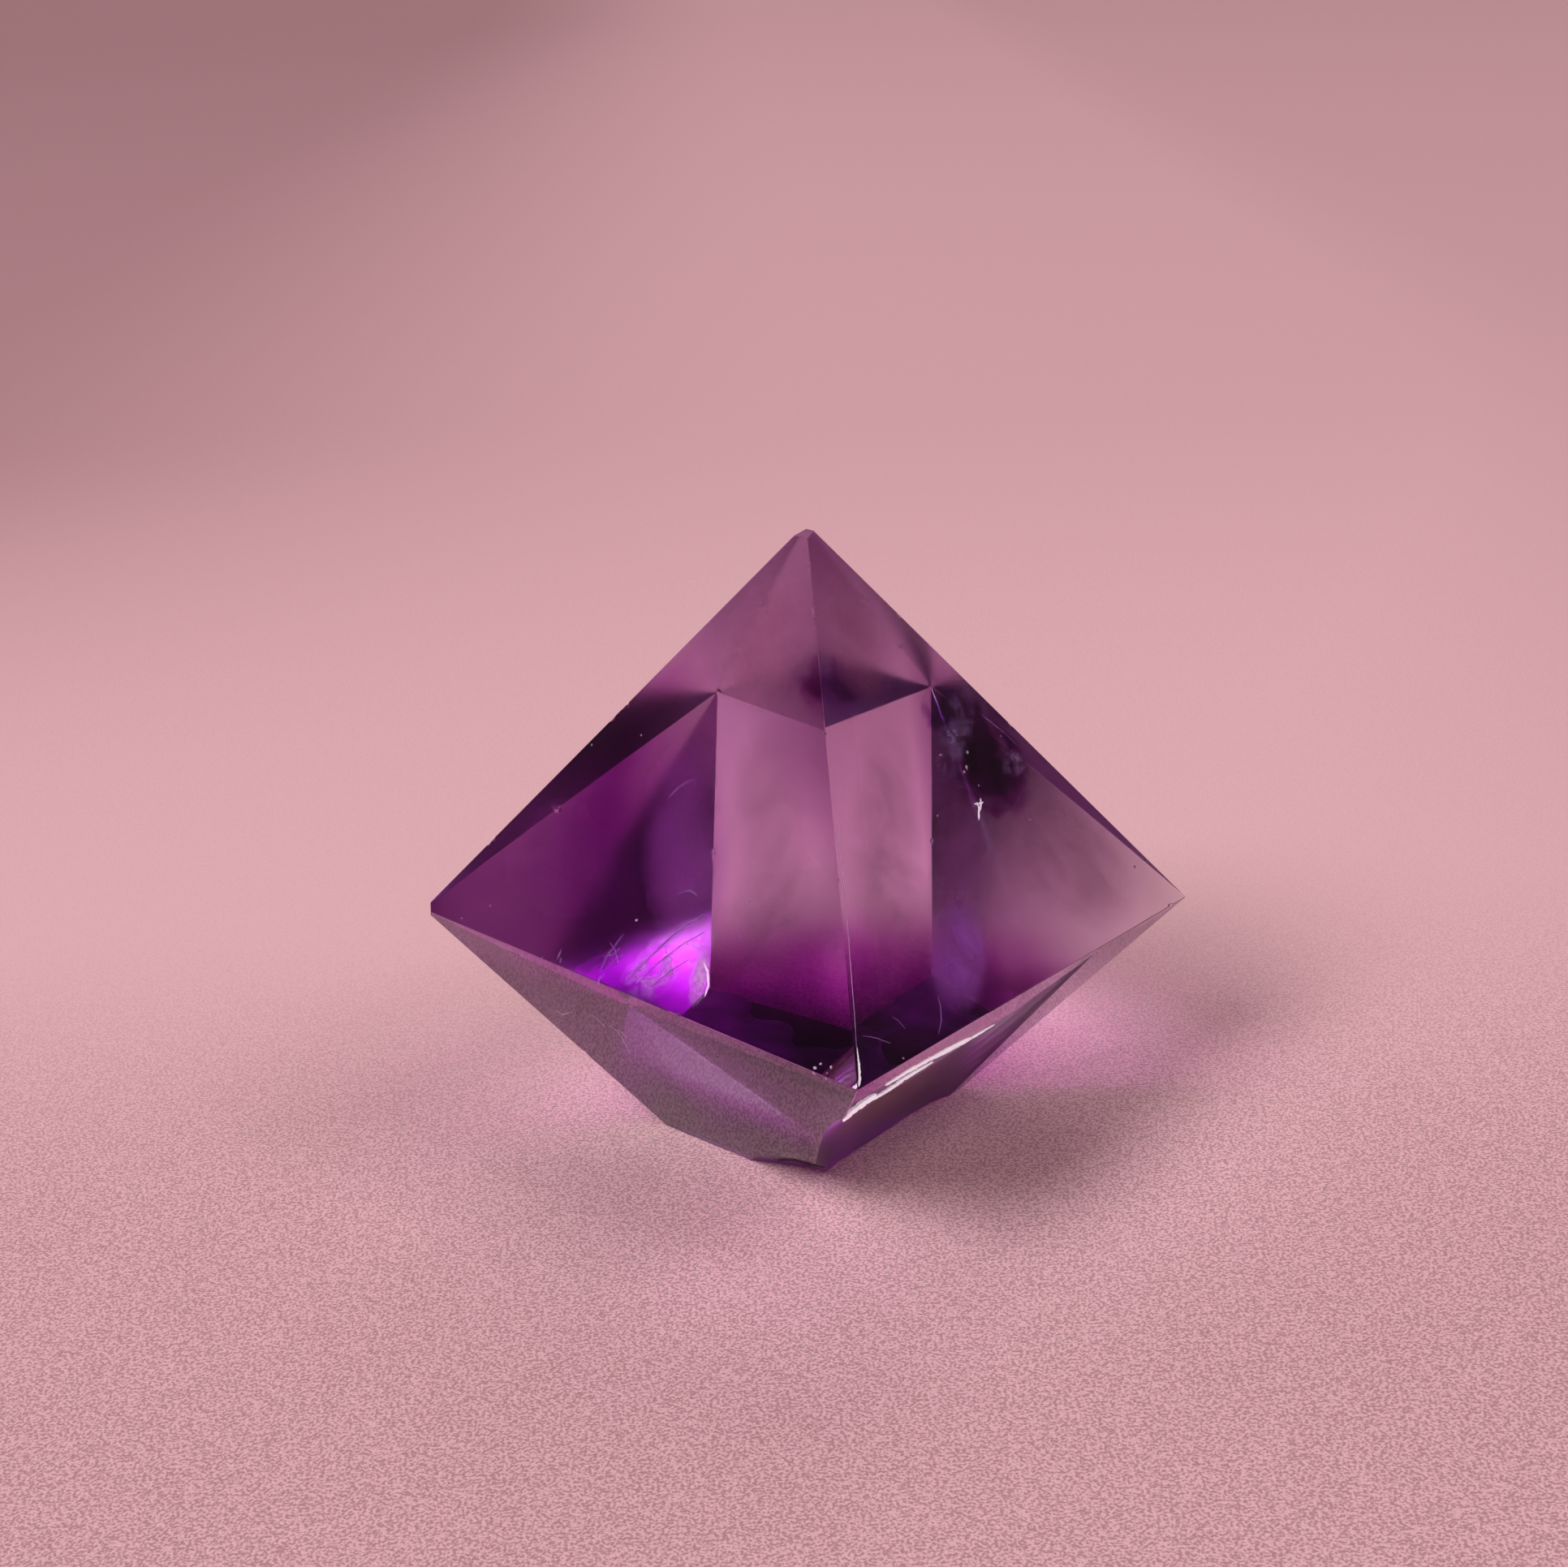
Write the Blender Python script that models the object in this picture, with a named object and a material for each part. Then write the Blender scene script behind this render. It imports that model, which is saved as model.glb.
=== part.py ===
"""Cleaved fluorite octahedron, standing on the broken-off stump of its lowest tip.

The crystal is one solid. Its six tips are measured along its own axes, in half-diagonals,
and the whole crystal then leans and turns as it stands. Units are metres, +Z is up, and the
origin is the middle of the bounding box's bottom, on the flat break that the crystal rests on.
"""
import math

import bmesh
import bpy
import numpy as np
from mathutils import Matrix, Vector

# Size and stance
HALF_DIAGONAL = 0.020  # centre to tip of the even octahedron that the crystal comes close to
REST_DEPTH = 0.590 * HALF_DIAGONAL  # height of the centre's foot above the lowest tip's break
LEAN_DEG = 5.14  # the tip-to-tip axis leans towards +X
TURN_DEG = 6.31  # and the crystal is then turned about the vertical

# The tips before any damage, in half-diagonals along the crystal's own axes
TIPS = {
    "top": (-0.037, 0.022, 0.973),
    "bottom": (-0.005, 0.017, -0.967),
    "front": (-0.038, -1.049, 0.000),
    "back": (0.137, 1.018, 0.021),
    "left": (-0.957, -0.033, 0.010),
    "right": (1.002, 0.039, -0.021),
}
AROUND = ("front", "right", "back", "left")  # the four side tips in order about the axis

# How far each tip is worn or broken back along its own direction
BLUNT = {
    "top": 0.00046,
    "left": 0.00034,
    "back": 0.00016,
    "front": 0.00008,
    "right": 0.00006,
}
TOP_BREAK_TILT = Vector((-0.16, -0.20, 0.0))  # leans the top's small break to the front left

# The corner broken from under the front edge, a hollow that is part of a sphere. Its rim
# meets the rest plane at two points and the front lower edge at a third.
CHIP_RADIUS = 1.60 * HALF_DIAGONAL
CHIP_LEFT = Vector((-0.135, -0.244, 0.0)) * HALF_DIAGONAL
CHIP_RIGHT = Vector((0.060, -0.328, 0.0)) * HALF_DIAGONAL
CHIP_FRONT = Vector((0.0486, -0.5390, 0.136)) * HALF_DIAGONAL

# The shallow flake scar on the right lower face, measured on that face: u runs from the
# front tip to the right tip, v runs down the face, and the depth goes into the crystal.
SCAR_LIP_V = 0.200 * HALF_DIAGONAL  # lip below the front right edge, at its left end
SCAR_LIP_RISE = 0.170 * HALF_DIAGONAL  # how far the lip climbs to that edge on the right
SCAR_LIP_POWER = 2.8
SCAR_U_START = 0.100 * HALF_DIAGONAL
SCAR_U_END = 1.060 * HALF_DIAGONAL
SCAR_V_END = 0.800 * HALF_DIAGONAL  # past the rest plane
SCAR_DEPTH = 0.046 * HALF_DIAGONAL
SCAR_EDGE_MARGIN = 0.004 * HALF_DIAGONAL  # how far the scar starts outside the front lower edge
SCAR_STEPS = (36, 22)  # grid steps along and down the scar
SCAR_OVERRUN = (0.03, 0.10)  # how far the cutter runs past the scar's ends, as shares
SCAR_CROWDING = 1.6  # crowds the grid's rows towards the lip
CUTTER_HEIGHT = 0.30 * HALF_DIAGONAL


def signed_power(x, power):
    """The power of the size of x, with the sign of x kept."""
    return np.sign(x) * np.abs(x) ** power


def stance():
    """The turn that takes the crystal's own axes to the way it stands."""
    turn = Matrix.Rotation(math.radians(TURN_DEG), 3, "Z")
    lean = Matrix.Rotation(math.radians(LEAN_DEG), 3, "Y")
    return turn @ lean


def standing_tips():
    """The six undamaged tips as the crystal stands, with its rest plane at z = 0."""
    turned = stance()
    foot = turned @ Vector((0.0, 0.0, -REST_DEPTH))
    return {name: turned @ (Vector(tip) * HALF_DIAGONAL) - foot for name, tip in TIPS.items()}


def whole_crystal(tips):
    """A bmesh of the undamaged octahedron, its eight faces pointing outwards."""
    mesh = bmesh.new()
    corner = {name: mesh.verts.new(place) for name, place in tips.items()}
    for here, after in zip(AROUND, AROUND[1:] + AROUND[:1]):
        mesh.faces.new((corner["top"], corner[here], corner[after]))
        mesh.faces.new((corner["bottom"], corner[after], corner[here]))
    bmesh.ops.recalc_face_normals(mesh, faces=mesh.faces)
    return mesh


def cut_flat(mesh, point, outward):
    """Takes off all that lies beyond a plane, and closes the cut with a flat face."""
    everything = mesh.verts[:] + mesh.edges[:] + mesh.faces[:]
    cut = bmesh.ops.bisect_plane(
        mesh, geom=everything, plane_co=point, plane_no=outward, clear_outer=True
    )
    rim = [part for part in cut["geom_cut"] if isinstance(part, bmesh.types.BMEdge)]
    bmesh.ops.edgeloop_fill(mesh, edges=rim)
    bmesh.ops.recalc_face_normals(mesh, faces=mesh.faces)


def blunt_tips(mesh, tips):
    """Breaks back the worn tips, and takes the lowest one off at the rest plane."""
    centre = sum(tips.values(), Vector()) / len(tips)
    for name, depth in BLUNT.items():
        outward = (tips[name] - centre).normalized()
        if name == "top":
            outward = (outward + TOP_BREAK_TILT).normalized()
        inward_point = tips[name] - outward * depth
        cut_flat(mesh, inward_point, outward)
    cut_flat(mesh, Vector(), Vector((0.0, 0.0, -1.0)))


def add_object(name, mesh):
    """Puts a bmesh in the scene as a named object."""
    data = bpy.data.meshes.new(name)
    mesh.to_mesh(data)
    mesh.free()
    item = bpy.data.objects.new(name, data)
    bpy.context.scene.collection.objects.link(item)
    return item


def mark_cutter(cutter):
    """Keeps a cutter out of what is shown and built."""
    cutter.hide_render = True
    cutter.display_type = "WIRE"
    return cutter


def sphere_through(first, second, third, radius, side):
    """Centre of the sphere of that radius through three points, on the side that side names."""
    across, along = second - first, third - first
    normal = across.cross(along)
    middle = first + (
        normal.cross(across) * along.length_squared + along.cross(normal) * across.length_squared
    ) / (2.0 * normal.length_squared)
    height = math.sqrt(radius**2 - (middle - first).length_squared)
    normal.normalize()
    if normal.dot(side) < 0.0:
        normal.negate()
    return middle + normal * height


def chip_cutter():
    """The ball that leaves the hollow under the front edge."""
    below = Vector((0.0, -0.5, -1.0))
    centre = sphere_through(CHIP_LEFT, CHIP_RIGHT, CHIP_FRONT, CHIP_RADIUS, below)
    mesh = bmesh.new()
    bmesh.ops.create_icosphere(
        mesh, subdivisions=4, radius=CHIP_RADIUS, matrix=Matrix.Translation(centre)
    )
    return mark_cutter(add_object("chip_cutter", mesh))


def scar_lip(u):
    """v of the scar's upper lip at u: level at first, then a climb that steepens."""
    share = np.clip((u - SCAR_U_START) / (SCAR_U_END - SCAR_U_START), 0.0, 1.0)
    return SCAR_LIP_V - SCAR_LIP_RISE * share**SCAR_LIP_POWER


def scar_depth(across, down):
    """Depth of the scar at its own shares: deep under the lip, then easing out downwards."""
    fall = 2.0 * signed_power(down, 0.55) - 1.0
    profile = 1.0 - fall**2 + 0.10 * np.clip(down, 0.0, None)
    width = signed_power(4.0 * across * (1.0 - across), 0.6)
    outside = (width < 0.0) | (profile < 0.0)
    return SCAR_DEPTH * np.where(outside, -np.abs(width * profile), width * profile)


def scar_cutter(tips):
    """The block with a swollen underside that leaves the flake scar."""
    along = (tips["right"] - tips["front"]).normalized()
    inward = (tips["bottom"] - tips["front"]).cross(along).normalized()
    if inward.dot(tips["back"] - tips["front"]) < 0.0:
        inward.negate()
    down = inward.cross(along)
    if down.dot(tips["bottom"] - tips["front"]) < 0.0:
        down.negate()
    lower_edge = tips["bottom"] - tips["front"]
    edge_slope = lower_edge.dot(along) / lower_edge.dot(down)

    steps_u, steps_v = SCAR_STEPS
    run_u, run_v = SCAR_OVERRUN
    across_share, down_share = np.meshgrid(
        np.linspace(-run_u, 1.0 + run_u, steps_u + 1),
        signed_power(np.linspace(-run_v, 1.0, steps_v + 1), SCAR_CROWDING),
        indexing="ij",
    )
    rough_v = down_share * SCAR_V_END
    u_left = np.maximum(edge_slope * rough_v - SCAR_EDGE_MARGIN, SCAR_U_START - SCAR_EDGE_MARGIN)
    u = u_left + across_share * (SCAR_U_END - u_left)
    lip = scar_lip(u)
    v = lip + down_share * (SCAR_V_END - lip)
    depth = scar_depth(across_share, down_share)

    face_axes = np.array([along, down, inward])
    floor = np.stack([u, v, depth], axis=-1).reshape(-1, 3) @ face_axes
    places = floor + np.array(tips["front"])

    mesh = bmesh.new()
    verts = [mesh.verts.new(place) for place in places]
    number = np.arange(len(verts)).reshape(steps_u + 1, steps_v + 1)
    for i in range(steps_u):
        for j in range(steps_v):
            around = (number[i, j], number[i + 1, j], number[i + 1, j + 1], number[i, j + 1])
            mesh.faces.new([verts[k] for k in around])
    rim = [edge for edge in mesh.edges if edge.is_boundary]
    raised = bmesh.ops.extrude_edge_only(mesh, edges=rim)["geom"]
    raised_verts = [part for part in raised if isinstance(part, bmesh.types.BMVert)]
    bmesh.ops.translate(mesh, verts=raised_verts, vec=-inward * CUTTER_HEIGHT)
    bmesh.ops.holes_fill(mesh, edges=[edge for edge in mesh.edges if edge.is_boundary])
    bmesh.ops.triangulate(mesh, faces=mesh.faces)
    bmesh.ops.recalc_face_normals(mesh, faces=mesh.faces)
    return mark_cutter(add_object("scar_cutter", mesh))


def subtract(item, cutter):
    """Cuts one solid out of another with an exact Boolean."""
    cut = item.modifiers.new(cutter.name, "BOOLEAN")
    cut.operation = "DIFFERENCE"
    cut.solver = "EXACT"
    cut.object = cutter


def centre_on_origin(item, cutters):
    """Moves the crystal and its cutters so that its box stands centred on the origin."""
    xs = [vertex.co.x for vertex in item.data.vertices]
    ys = [vertex.co.y for vertex in item.data.vertices]
    shift = Matrix.Translation((-(min(xs) + max(xs)) / 2.0, -(min(ys) + max(ys)) / 2.0, 0.0))
    for piece in [item] + cutters:
        piece.data.transform(shift)


def fluorite_material():
    """Violet fluorite, clear enough to see through."""
    material = bpy.data.materials.new("violet_fluorite")
    material.use_nodes = True
    shader = material.node_tree.nodes["Principled BSDF"]
    shader.inputs["Base Color"].default_value = (0.42, 0.16, 0.52, 1.0)
    shader.inputs["Roughness"].default_value = 0.05
    shader.inputs["Metallic"].default_value = 0.0
    shader.inputs["IOR"].default_value = 1.434
    shader.inputs["Transmission Weight"].default_value = 1.0
    return material


def build_crystal():
    """Makes the one piece: tips, breaks, chip and scar."""
    tips = standing_tips()
    mesh = whole_crystal(tips)
    blunt_tips(mesh, tips)
    crystal = add_object("fluorite_crystal", mesh)
    cutters = [scar_cutter(tips), chip_cutter()]
    centre_on_origin(crystal, cutters)
    for cutter in cutters:
        subtract(crystal, cutter)
    crystal.data.materials.append(fluorite_material())
    return crystal


for leftover in list(bpy.data.objects):
    bpy.data.objects.remove(leftover)
build_crystal()
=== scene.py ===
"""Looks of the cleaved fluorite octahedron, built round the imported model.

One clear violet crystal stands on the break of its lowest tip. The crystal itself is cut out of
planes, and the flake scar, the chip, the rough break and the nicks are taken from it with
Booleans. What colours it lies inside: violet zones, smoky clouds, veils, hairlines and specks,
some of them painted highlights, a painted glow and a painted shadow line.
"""
import itertools
import logging
import math
from dataclasses import dataclass, field
from enum import Enum

import bpy
import numpy as np
from mathutils import Matrix, Vector
from numpy.typing import NDArray


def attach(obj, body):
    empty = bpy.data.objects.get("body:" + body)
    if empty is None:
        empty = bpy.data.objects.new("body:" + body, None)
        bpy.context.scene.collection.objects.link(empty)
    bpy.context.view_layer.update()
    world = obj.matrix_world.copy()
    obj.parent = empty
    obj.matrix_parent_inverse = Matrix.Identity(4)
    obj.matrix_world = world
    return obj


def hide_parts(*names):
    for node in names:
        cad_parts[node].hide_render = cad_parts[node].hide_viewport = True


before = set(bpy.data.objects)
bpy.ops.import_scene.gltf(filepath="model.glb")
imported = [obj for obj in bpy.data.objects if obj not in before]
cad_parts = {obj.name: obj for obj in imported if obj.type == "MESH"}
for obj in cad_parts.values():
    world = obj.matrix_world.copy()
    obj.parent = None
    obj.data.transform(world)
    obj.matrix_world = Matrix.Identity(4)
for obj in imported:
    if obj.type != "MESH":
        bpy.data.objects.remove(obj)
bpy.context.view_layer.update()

Array = NDArray[np.float64]
Numbers = NDArray[np.int64]
Socket = bpy.types.NodeSocket

LOG = logging.getLogger("fluorite_octahedron")
MM = 0.001
NODE = "fluorite_crystal"
BODY = "root"
FLUORITE_IOR = 1.434

# Corners within this of a plane, in metres, lie on it
TOUCH = 1e-9

# Three planes with a smaller determinant don't meet in a corner
FLATTEST = 1e-5


class Face(Enum):
    """The eight faces, each by the three tips at its corners."""

    UPPER_LEFT = ("top", "left", "front")
    UPPER_RIGHT = ("top", "front", "right")
    UPPER_BACK_RIGHT = ("top", "right", "back")
    UPPER_BACK_LEFT = ("top", "back", "left")
    LOWER_LEFT = ("bottom", "front", "left")
    LOWER_RIGHT = ("bottom", "right", "front")
    LOWER_BACK_RIGHT = ("bottom", "back", "right")
    LOWER_BACK_LEFT = ("bottom", "left", "back")


def unit(vector: Array) -> Array:
    """Vectors of length one, along the last axis."""
    return vector / np.linalg.norm(vector, axis=-1, keepdims=True)


def turn_about(axis: str, degrees: float) -> Array:
    """The matrix of a turn, for columns.

    Args:
        axis: "Y" or "Z".
        degrees: how far it turns, anticlockwise seen from the axis's far end.

    Returns:
        The 3 by 3 matrix.
    """
    c, s = math.cos(math.radians(degrees)), math.sin(math.radians(degrees))
    if axis == "Y":
        return np.array([[c, 0.0, s], [0.0, 1.0, 0.0], [-s, 0.0, c]])
    return np.array([[c, -s, 0.0], [s, c, 0.0], [0.0, 0.0, 1.0]])


def signed_power(x: Array, power: float) -> Array:
    """The power of the size of x, with the sign of x kept."""
    return np.sign(x) * np.abs(x) ** power


# Solids cut out of planes


@dataclass
class Planes:
    """A convex solid as half-spaces: a point is inside where normal . point <= reach for all."""

    normals: Array
    reaches: Array

    def cut(self, normal: Array, point: Array) -> None:
        """Adds a plane that takes off what lies beyond it.

        Args:
            normal: the way out of the solid, of any length.
            point: a point on the plane.
        """
        normal = unit(np.asarray(normal, float))
        self.normals = np.vstack([self.normals, normal])
        self.reaches = np.append(self.reaches, normal @ point)

    def shrunk(self, margin: float) -> "Planes":
        """The same solid with every plane moved inwards by the margin."""
        return Planes(self.normals.copy(), self.reaches - margin)

    def corners(self) -> Array:
        """Every three planes meet in a point, and the points inside all planes are the corners.

        Returns:
            One row of x, y and z for each corner.
        """
        triples = np.array(list(itertools.combinations(range(len(self.reaches)), 3)))
        normals = self.normals[triples]
        triples = triples[np.abs(np.linalg.det(normals)) > FLATTEST]
        meets = np.linalg.solve(self.normals[triples], self.reaches[triples][..., None])[..., 0]
        inside = (meets @ self.normals.T <= self.reaches + TOUCH).all(axis=1)
        return np.unique(np.round(meets[inside], 9), axis=0)

    def outline(self) -> tuple[Array, list[list[int]]]:
        """Corners and faces: the corners on each plane, in order of angle round their middle.

        Returns:
            The corners, and each face's corner numbers, anticlockwise seen from outside.
        """
        corners = self.corners()
        faces = []
        for normal, reach in zip(self.normals, self.reaches):
            on = np.flatnonzero(np.abs(corners @ normal - reach) < 2.0 * TOUCH)
            if len(on) < 3:
                continue
            spokes = corners[on] - corners[on].mean(axis=0)
            right = unit(spokes[0])
            up = np.cross(normal, right)
            order = np.argsort(np.arctan2(spokes @ up, spokes @ right))
            faces.append(on[order].tolist())
        return corners, faces


def add_object(name: str, points: Array, faces: list) -> bpy.types.Object:
    """Makes a mesh of points and faces, and puts it in the scene at the origin.

    Args:
        name: the object's name.
        points: one row of x, y and z for each corner.
        faces: lists of corner numbers.

    Returns:
        The new object.
    """
    mesh = bpy.data.meshes.new(name)
    mesh.from_pydata(np.asarray(points).reshape(-1, 3).tolist(), [], [list(f) for f in faces])
    mesh.validate()
    item = bpy.data.objects.new(name, mesh)
    bpy.context.scene.collection.objects.link(item)
    return item


def grid_quads(rows: int, columns: int) -> Numbers:
    """The quads of a grid whose points are stored row by row.

    Args:
        rows: how many rows of points there are.
        columns: how many points there are in a row.

    Returns:
        Four corner numbers for each quad.
    """
    number = np.arange(rows * columns).reshape(rows, columns)
    around = (number[:-1, :-1], number[1:, :-1], number[1:, 1:], number[:-1, 1:])
    return np.stack(around, axis=-1).reshape(-1, 4)


def closed_block(over: Array, under: Array) -> tuple[Array, list[list[int]]]:
    """A closed solid between two grids of the same shape, with walls round the rim.

    Args:
        over: rows by columns by 3 points of one side; its quads wind as stored.
        under: the facing grid, whose quads wind the other way.

    Returns:
        The points and the faces.
    """
    rows, columns = over.shape[:2]
    count = rows * columns
    number = np.arange(count).reshape(rows, columns)
    rim = np.concatenate(
        [number[:-1, 0], number[-1, :-1], number[:0:-1, -1], number[0, :0:-1]]
    )
    after = np.roll(rim, -1)
    walls = np.stack([after, rim, rim + count, after + count], axis=-1)
    caps = grid_quads(rows, columns)
    faces = np.concatenate([caps, caps[:, ::-1] + count, walls])
    points = np.concatenate([over.reshape(-1, 3), under.reshape(-1, 3)])
    return points, faces.tolist()


def closed_shell(shell: Array) -> tuple[Array, list[list[int]]]:
    """A closed skin over a grid of points whose first and last row each shrink to a pole.

    Args:
        shell: rows by turns by 3 points; seen along the rows the turns run clockwise.

    Returns:
        The points, and the faces, which point outwards.
    """
    rows, turns = shell.shape[:2]
    rings = shell[1:-1].reshape(-1, 3)
    points = np.concatenate([rings, shell[:1, 0], shell[-1:, 0]])
    number = np.arange(len(rings)).reshape(rows - 2, turns)
    after = np.roll(number, -1, axis=1)
    quads = np.stack([number[:-1], number[1:], after[1:], after[:-1]], axis=-1).reshape(-1, 4)
    top, low = np.full(turns, len(rings)), np.full(turns, len(rings) + 1)
    cap = np.stack([top, number[0], after[0]], axis=-1)
    foot = np.stack([low, after[-1], number[-1]], axis=-1)
    return points, quads.tolist() + cap.tolist() + foot.tolist()


def closed_ball(
    reach: Array, axes: Array, centre: Array, crowding: float = 1.0
) -> tuple[Array, list[list[int]]]:
    """A closed ball-like solid from a grid of reaches, with a pole at each end.

    A point at polar share s and turn t lies at reach(s, t) along the direction with
    polar angle pi s^crowding and azimuth 2 pi t, in the axes given.

    Args:
        reach: polar rows by turns of distances from the centre; the first and last row
            are the poles and are read at their first turn only.
        axes: 3 by 3, rows are the ball's own x, y and polar axis, right-handed, scaled as wanted.
        centre: where the ball is.
        crowding: over 1 it draws the rows together round the first pole.

    Returns:
        The points and the faces, which point outwards.
    """
    rows, turns = reach.shape
    polar = math.pi * np.linspace(0.0, 1.0, rows)[:, None] ** crowding
    azimuth = np.linspace(0.0, 2.0 * math.pi, turns, endpoint=False)[None, :]
    level = np.cos(polar) * np.ones_like(azimuth)
    ways = np.stack([np.sin(polar) * np.cos(azimuth), np.sin(polar) * np.sin(azimuth), level], -1)
    return closed_shell((ways * reach[..., None]) @ axes + centre)


def merged(shapes: list) -> tuple[Array, list[list[int]]]:
    """Several shapes as one, with the corner numbers moved on.

    Args:
        shapes: the points and the faces of each.

    Returns:
        The points and the faces of all of them.
    """
    starts = np.cumsum([0] + [len(points) for points, _ in shapes])
    faces = [
        [number + int(start) for number in face]
        for start, (_, skin) in zip(starts, shapes)
        for face in skin
    ]
    return np.concatenate([points for points, _ in shapes]), faces


# The stance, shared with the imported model


@dataclass(frozen=True)
class Stance:
    """How the crystal stands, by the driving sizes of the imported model's source."""

    half_diagonal: float = 20.0 * MM
    rest_depth: float = 0.590
    lean: float = 5.14
    turn: float = 6.31
    own_tips: tuple = (
        ("top", (-0.037, 0.022, 0.973)),
        ("bottom", (-0.005, 0.017, -0.967)),
        ("front", (-0.038, -1.049, 0.000)),
        ("back", (0.137, 1.018, 0.021)),
        ("left", (-0.957, -0.033, 0.010)),
        ("right", (1.002, 0.039, -0.021)),
    )
    blunt: tuple = (
        ("top", 0.46 * MM),
        ("left", 0.34 * MM),
        ("back", 0.16 * MM),
        ("front", 0.08 * MM),
        ("right", 0.06 * MM),
    )
    top_break_tilt: tuple = (-0.16, -0.20, 0.0)

    def axes(self) -> Array:
        """The crystal's own axes as the columns of a matrix, in the frame's axes."""
        return turn_about("Z", self.turn) @ turn_about("Y", self.lean)

    def tips(self) -> dict[str, Array]:
        """The six undamaged tips over the rest plane, before the crystal is centred.

        Returns:
            Each tip by its name.
        """
        foot = self.axes() @ np.array([0.0, 0.0, -self.rest_depth])
        return {
            name: (self.axes() @ np.array(tip) - foot) * self.half_diagonal
            for name, tip in self.own_tips
        }

    def middle(self) -> Array:
        """The middle of the six tips, before the crystal is centred."""
        tips = self.tips()
        return sum(tips.values()) / len(tips)

    def face_plane(self, face: Face) -> tuple[Array, Array]:
        """The plane of a face, before the crystal is centred.

        Args:
            face: the face.

        Returns:
            Its outward normal, and a point on it.
        """
        tips = self.tips()
        first, second, third = (tips[name] for name in face.value)
        normal = unit(np.cross(second - first, third - first))
        return (normal if normal @ (first - self.middle()) > 0.0 else -normal), first

    def solid(self) -> Planes:
        """The eight faces, the blunt tips and the rest plane.

        Returns:
            The solid, before it is centred.
        """
        planes = Planes(np.zeros((0, 3)), np.zeros(0))
        for face in Face:
            planes.cut(*self.face_plane(face))
        tips = self.tips()
        for name, depth in self.blunt:
            outward = unit(tips[name] - self.middle())
            tilt = np.array(self.top_break_tilt) if name == "top" else np.zeros(3)
            tilted = unit(outward + tilt)
            planes.cut(tilted, tips[name] - tilted * depth)
        planes.cut(np.array([0.0, 0.0, -1.0]), np.zeros(3))
        return planes

    def shift(self) -> Array:
        """What centres the crystal's box on the origin.

        Returns:
            The move, which is level.
        """
        corners = self.solid().corners()
        middle = (corners.min(axis=0) + corners.max(axis=0)) / 2.0
        return np.array([-middle[0], -middle[1], 0.0])


# The camera, and where it looks into the crystal


@dataclass(frozen=True)
class Sight:
    """The photograph's camera, and where its pixels fall on and in the crystal."""

    place: tuple = (-1.60 * MM, -114.86 * MM, 60.89 * MM)
    down: float = 20.37
    aside: float = 0.12
    roll: float = -3.18
    focal_pixels: float = 3050.0
    frame_pixels: tuple = (1932, 1931)
    sensor: float = 36.0
    nearest: float = 1.0 * MM

    def axes(self) -> Array:
        """The camera's own directions.

        Returns:
            3 by 3, rows are its right, up and forward directions.
        """
        d, a, r = (math.radians(angle) for angle in (self.down, self.aside, self.roll))
        ahead = np.array([math.sin(a) * math.cos(d), math.cos(a) * math.cos(d), -math.sin(d)])
        level = unit(np.cross(ahead, [0.0, 0.0, 1.0]))
        above = np.cross(level, ahead)
        right = level * math.cos(r) + above * math.sin(r)
        up = above * math.cos(r) - level * math.sin(r)
        return np.array([right, up, ahead])

    def rays(self, pixels: Array) -> Array:
        """Directions in which the camera sees the pixels.

        Args:
            pixels: x and y in the photograph's frame, along the last axis.

        Returns:
            The directions, of length one.
        """
        across = pixels[..., 0] - self.frame_pixels[0] / 2.0
        down = pixels[..., 1] - self.frame_pixels[1] / 2.0
        ahead = np.full_like(across, self.focal_pixels)
        return unit(np.stack([across, -down, ahead], axis=-1) @ self.axes())

    def on_face(self, pixels: Array, face: Face) -> Array:
        """Points of a face's plane that the camera sees.

        Args:
            pixels: x and y in the photograph's frame, along the last axis.
            face: the face that is looked at.

        Returns:
            The points, in the frame's metres.
        """
        normal, point = STANCE.face_plane(face)
        point = point + STANCE.shift()
        rays = self.rays(np.asarray(pixels, float))
        eye = np.array(self.place)
        way = ((point - eye) @ normal) / (rays @ normal)
        return eye + rays * way[..., None]

    def within(self, pixels: Array, face: Face, depth: Array) -> Array:
        """Points in the crystal that the camera sees through a face.

        The ray bends at the face by Snell's law, and then runs on for the depth.

        Args:
            pixels: x and y in the photograph's frame, along the last axis.
            face: the face that is looked through.
            depth: how far past the face each point lies, in metres.

        Returns:
            The points, in the frame's metres.
        """
        normal, _ = STANCE.face_plane(face)
        rays = self.rays(np.asarray(pixels, float))
        against = -(rays @ normal)[..., None]
        bend = against / FLUORITE_IOR - np.sqrt(1.0 - (1.0 - against**2) / FLUORITE_IOR**2)
        bent = rays / FLUORITE_IOR + bend * normal
        return self.on_face(pixels, face) + bent * np.asarray(depth, float)[..., None]

    def add_camera(self) -> None:
        """Makes the camera and gives it to the scene."""
        data = bpy.data.cameras.new("camera")
        data.sensor_width = self.sensor
        data.lens = self.focal_pixels / self.frame_pixels[0] * self.sensor
        data.clip_start = self.nearest
        camera = bpy.data.objects.new("camera", data)
        right, up, ahead = self.axes()
        matrix = np.eye(4)
        matrix[:3, :3] = np.array([right, up, -ahead]).T
        matrix[:3, 3] = self.place
        camera.matrix_world = Matrix(matrix.tolist())
        bpy.context.scene.collection.objects.link(camera)
        bpy.context.scene.camera = camera


STANCE = Stance()
SIGHT = Sight()


# Node trees

# Distances from a face's plane at which a mask on it starts to end, and has ended
FACE_REACH = (0.02 * MM, 0.05 * MM)

# How finely the renderer steps through a zone or a cloud
STEP_RATE = 2.5

# How much denser an absorption is than its largest exponent asks for
SPARE_DENSITY = 1.05

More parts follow.
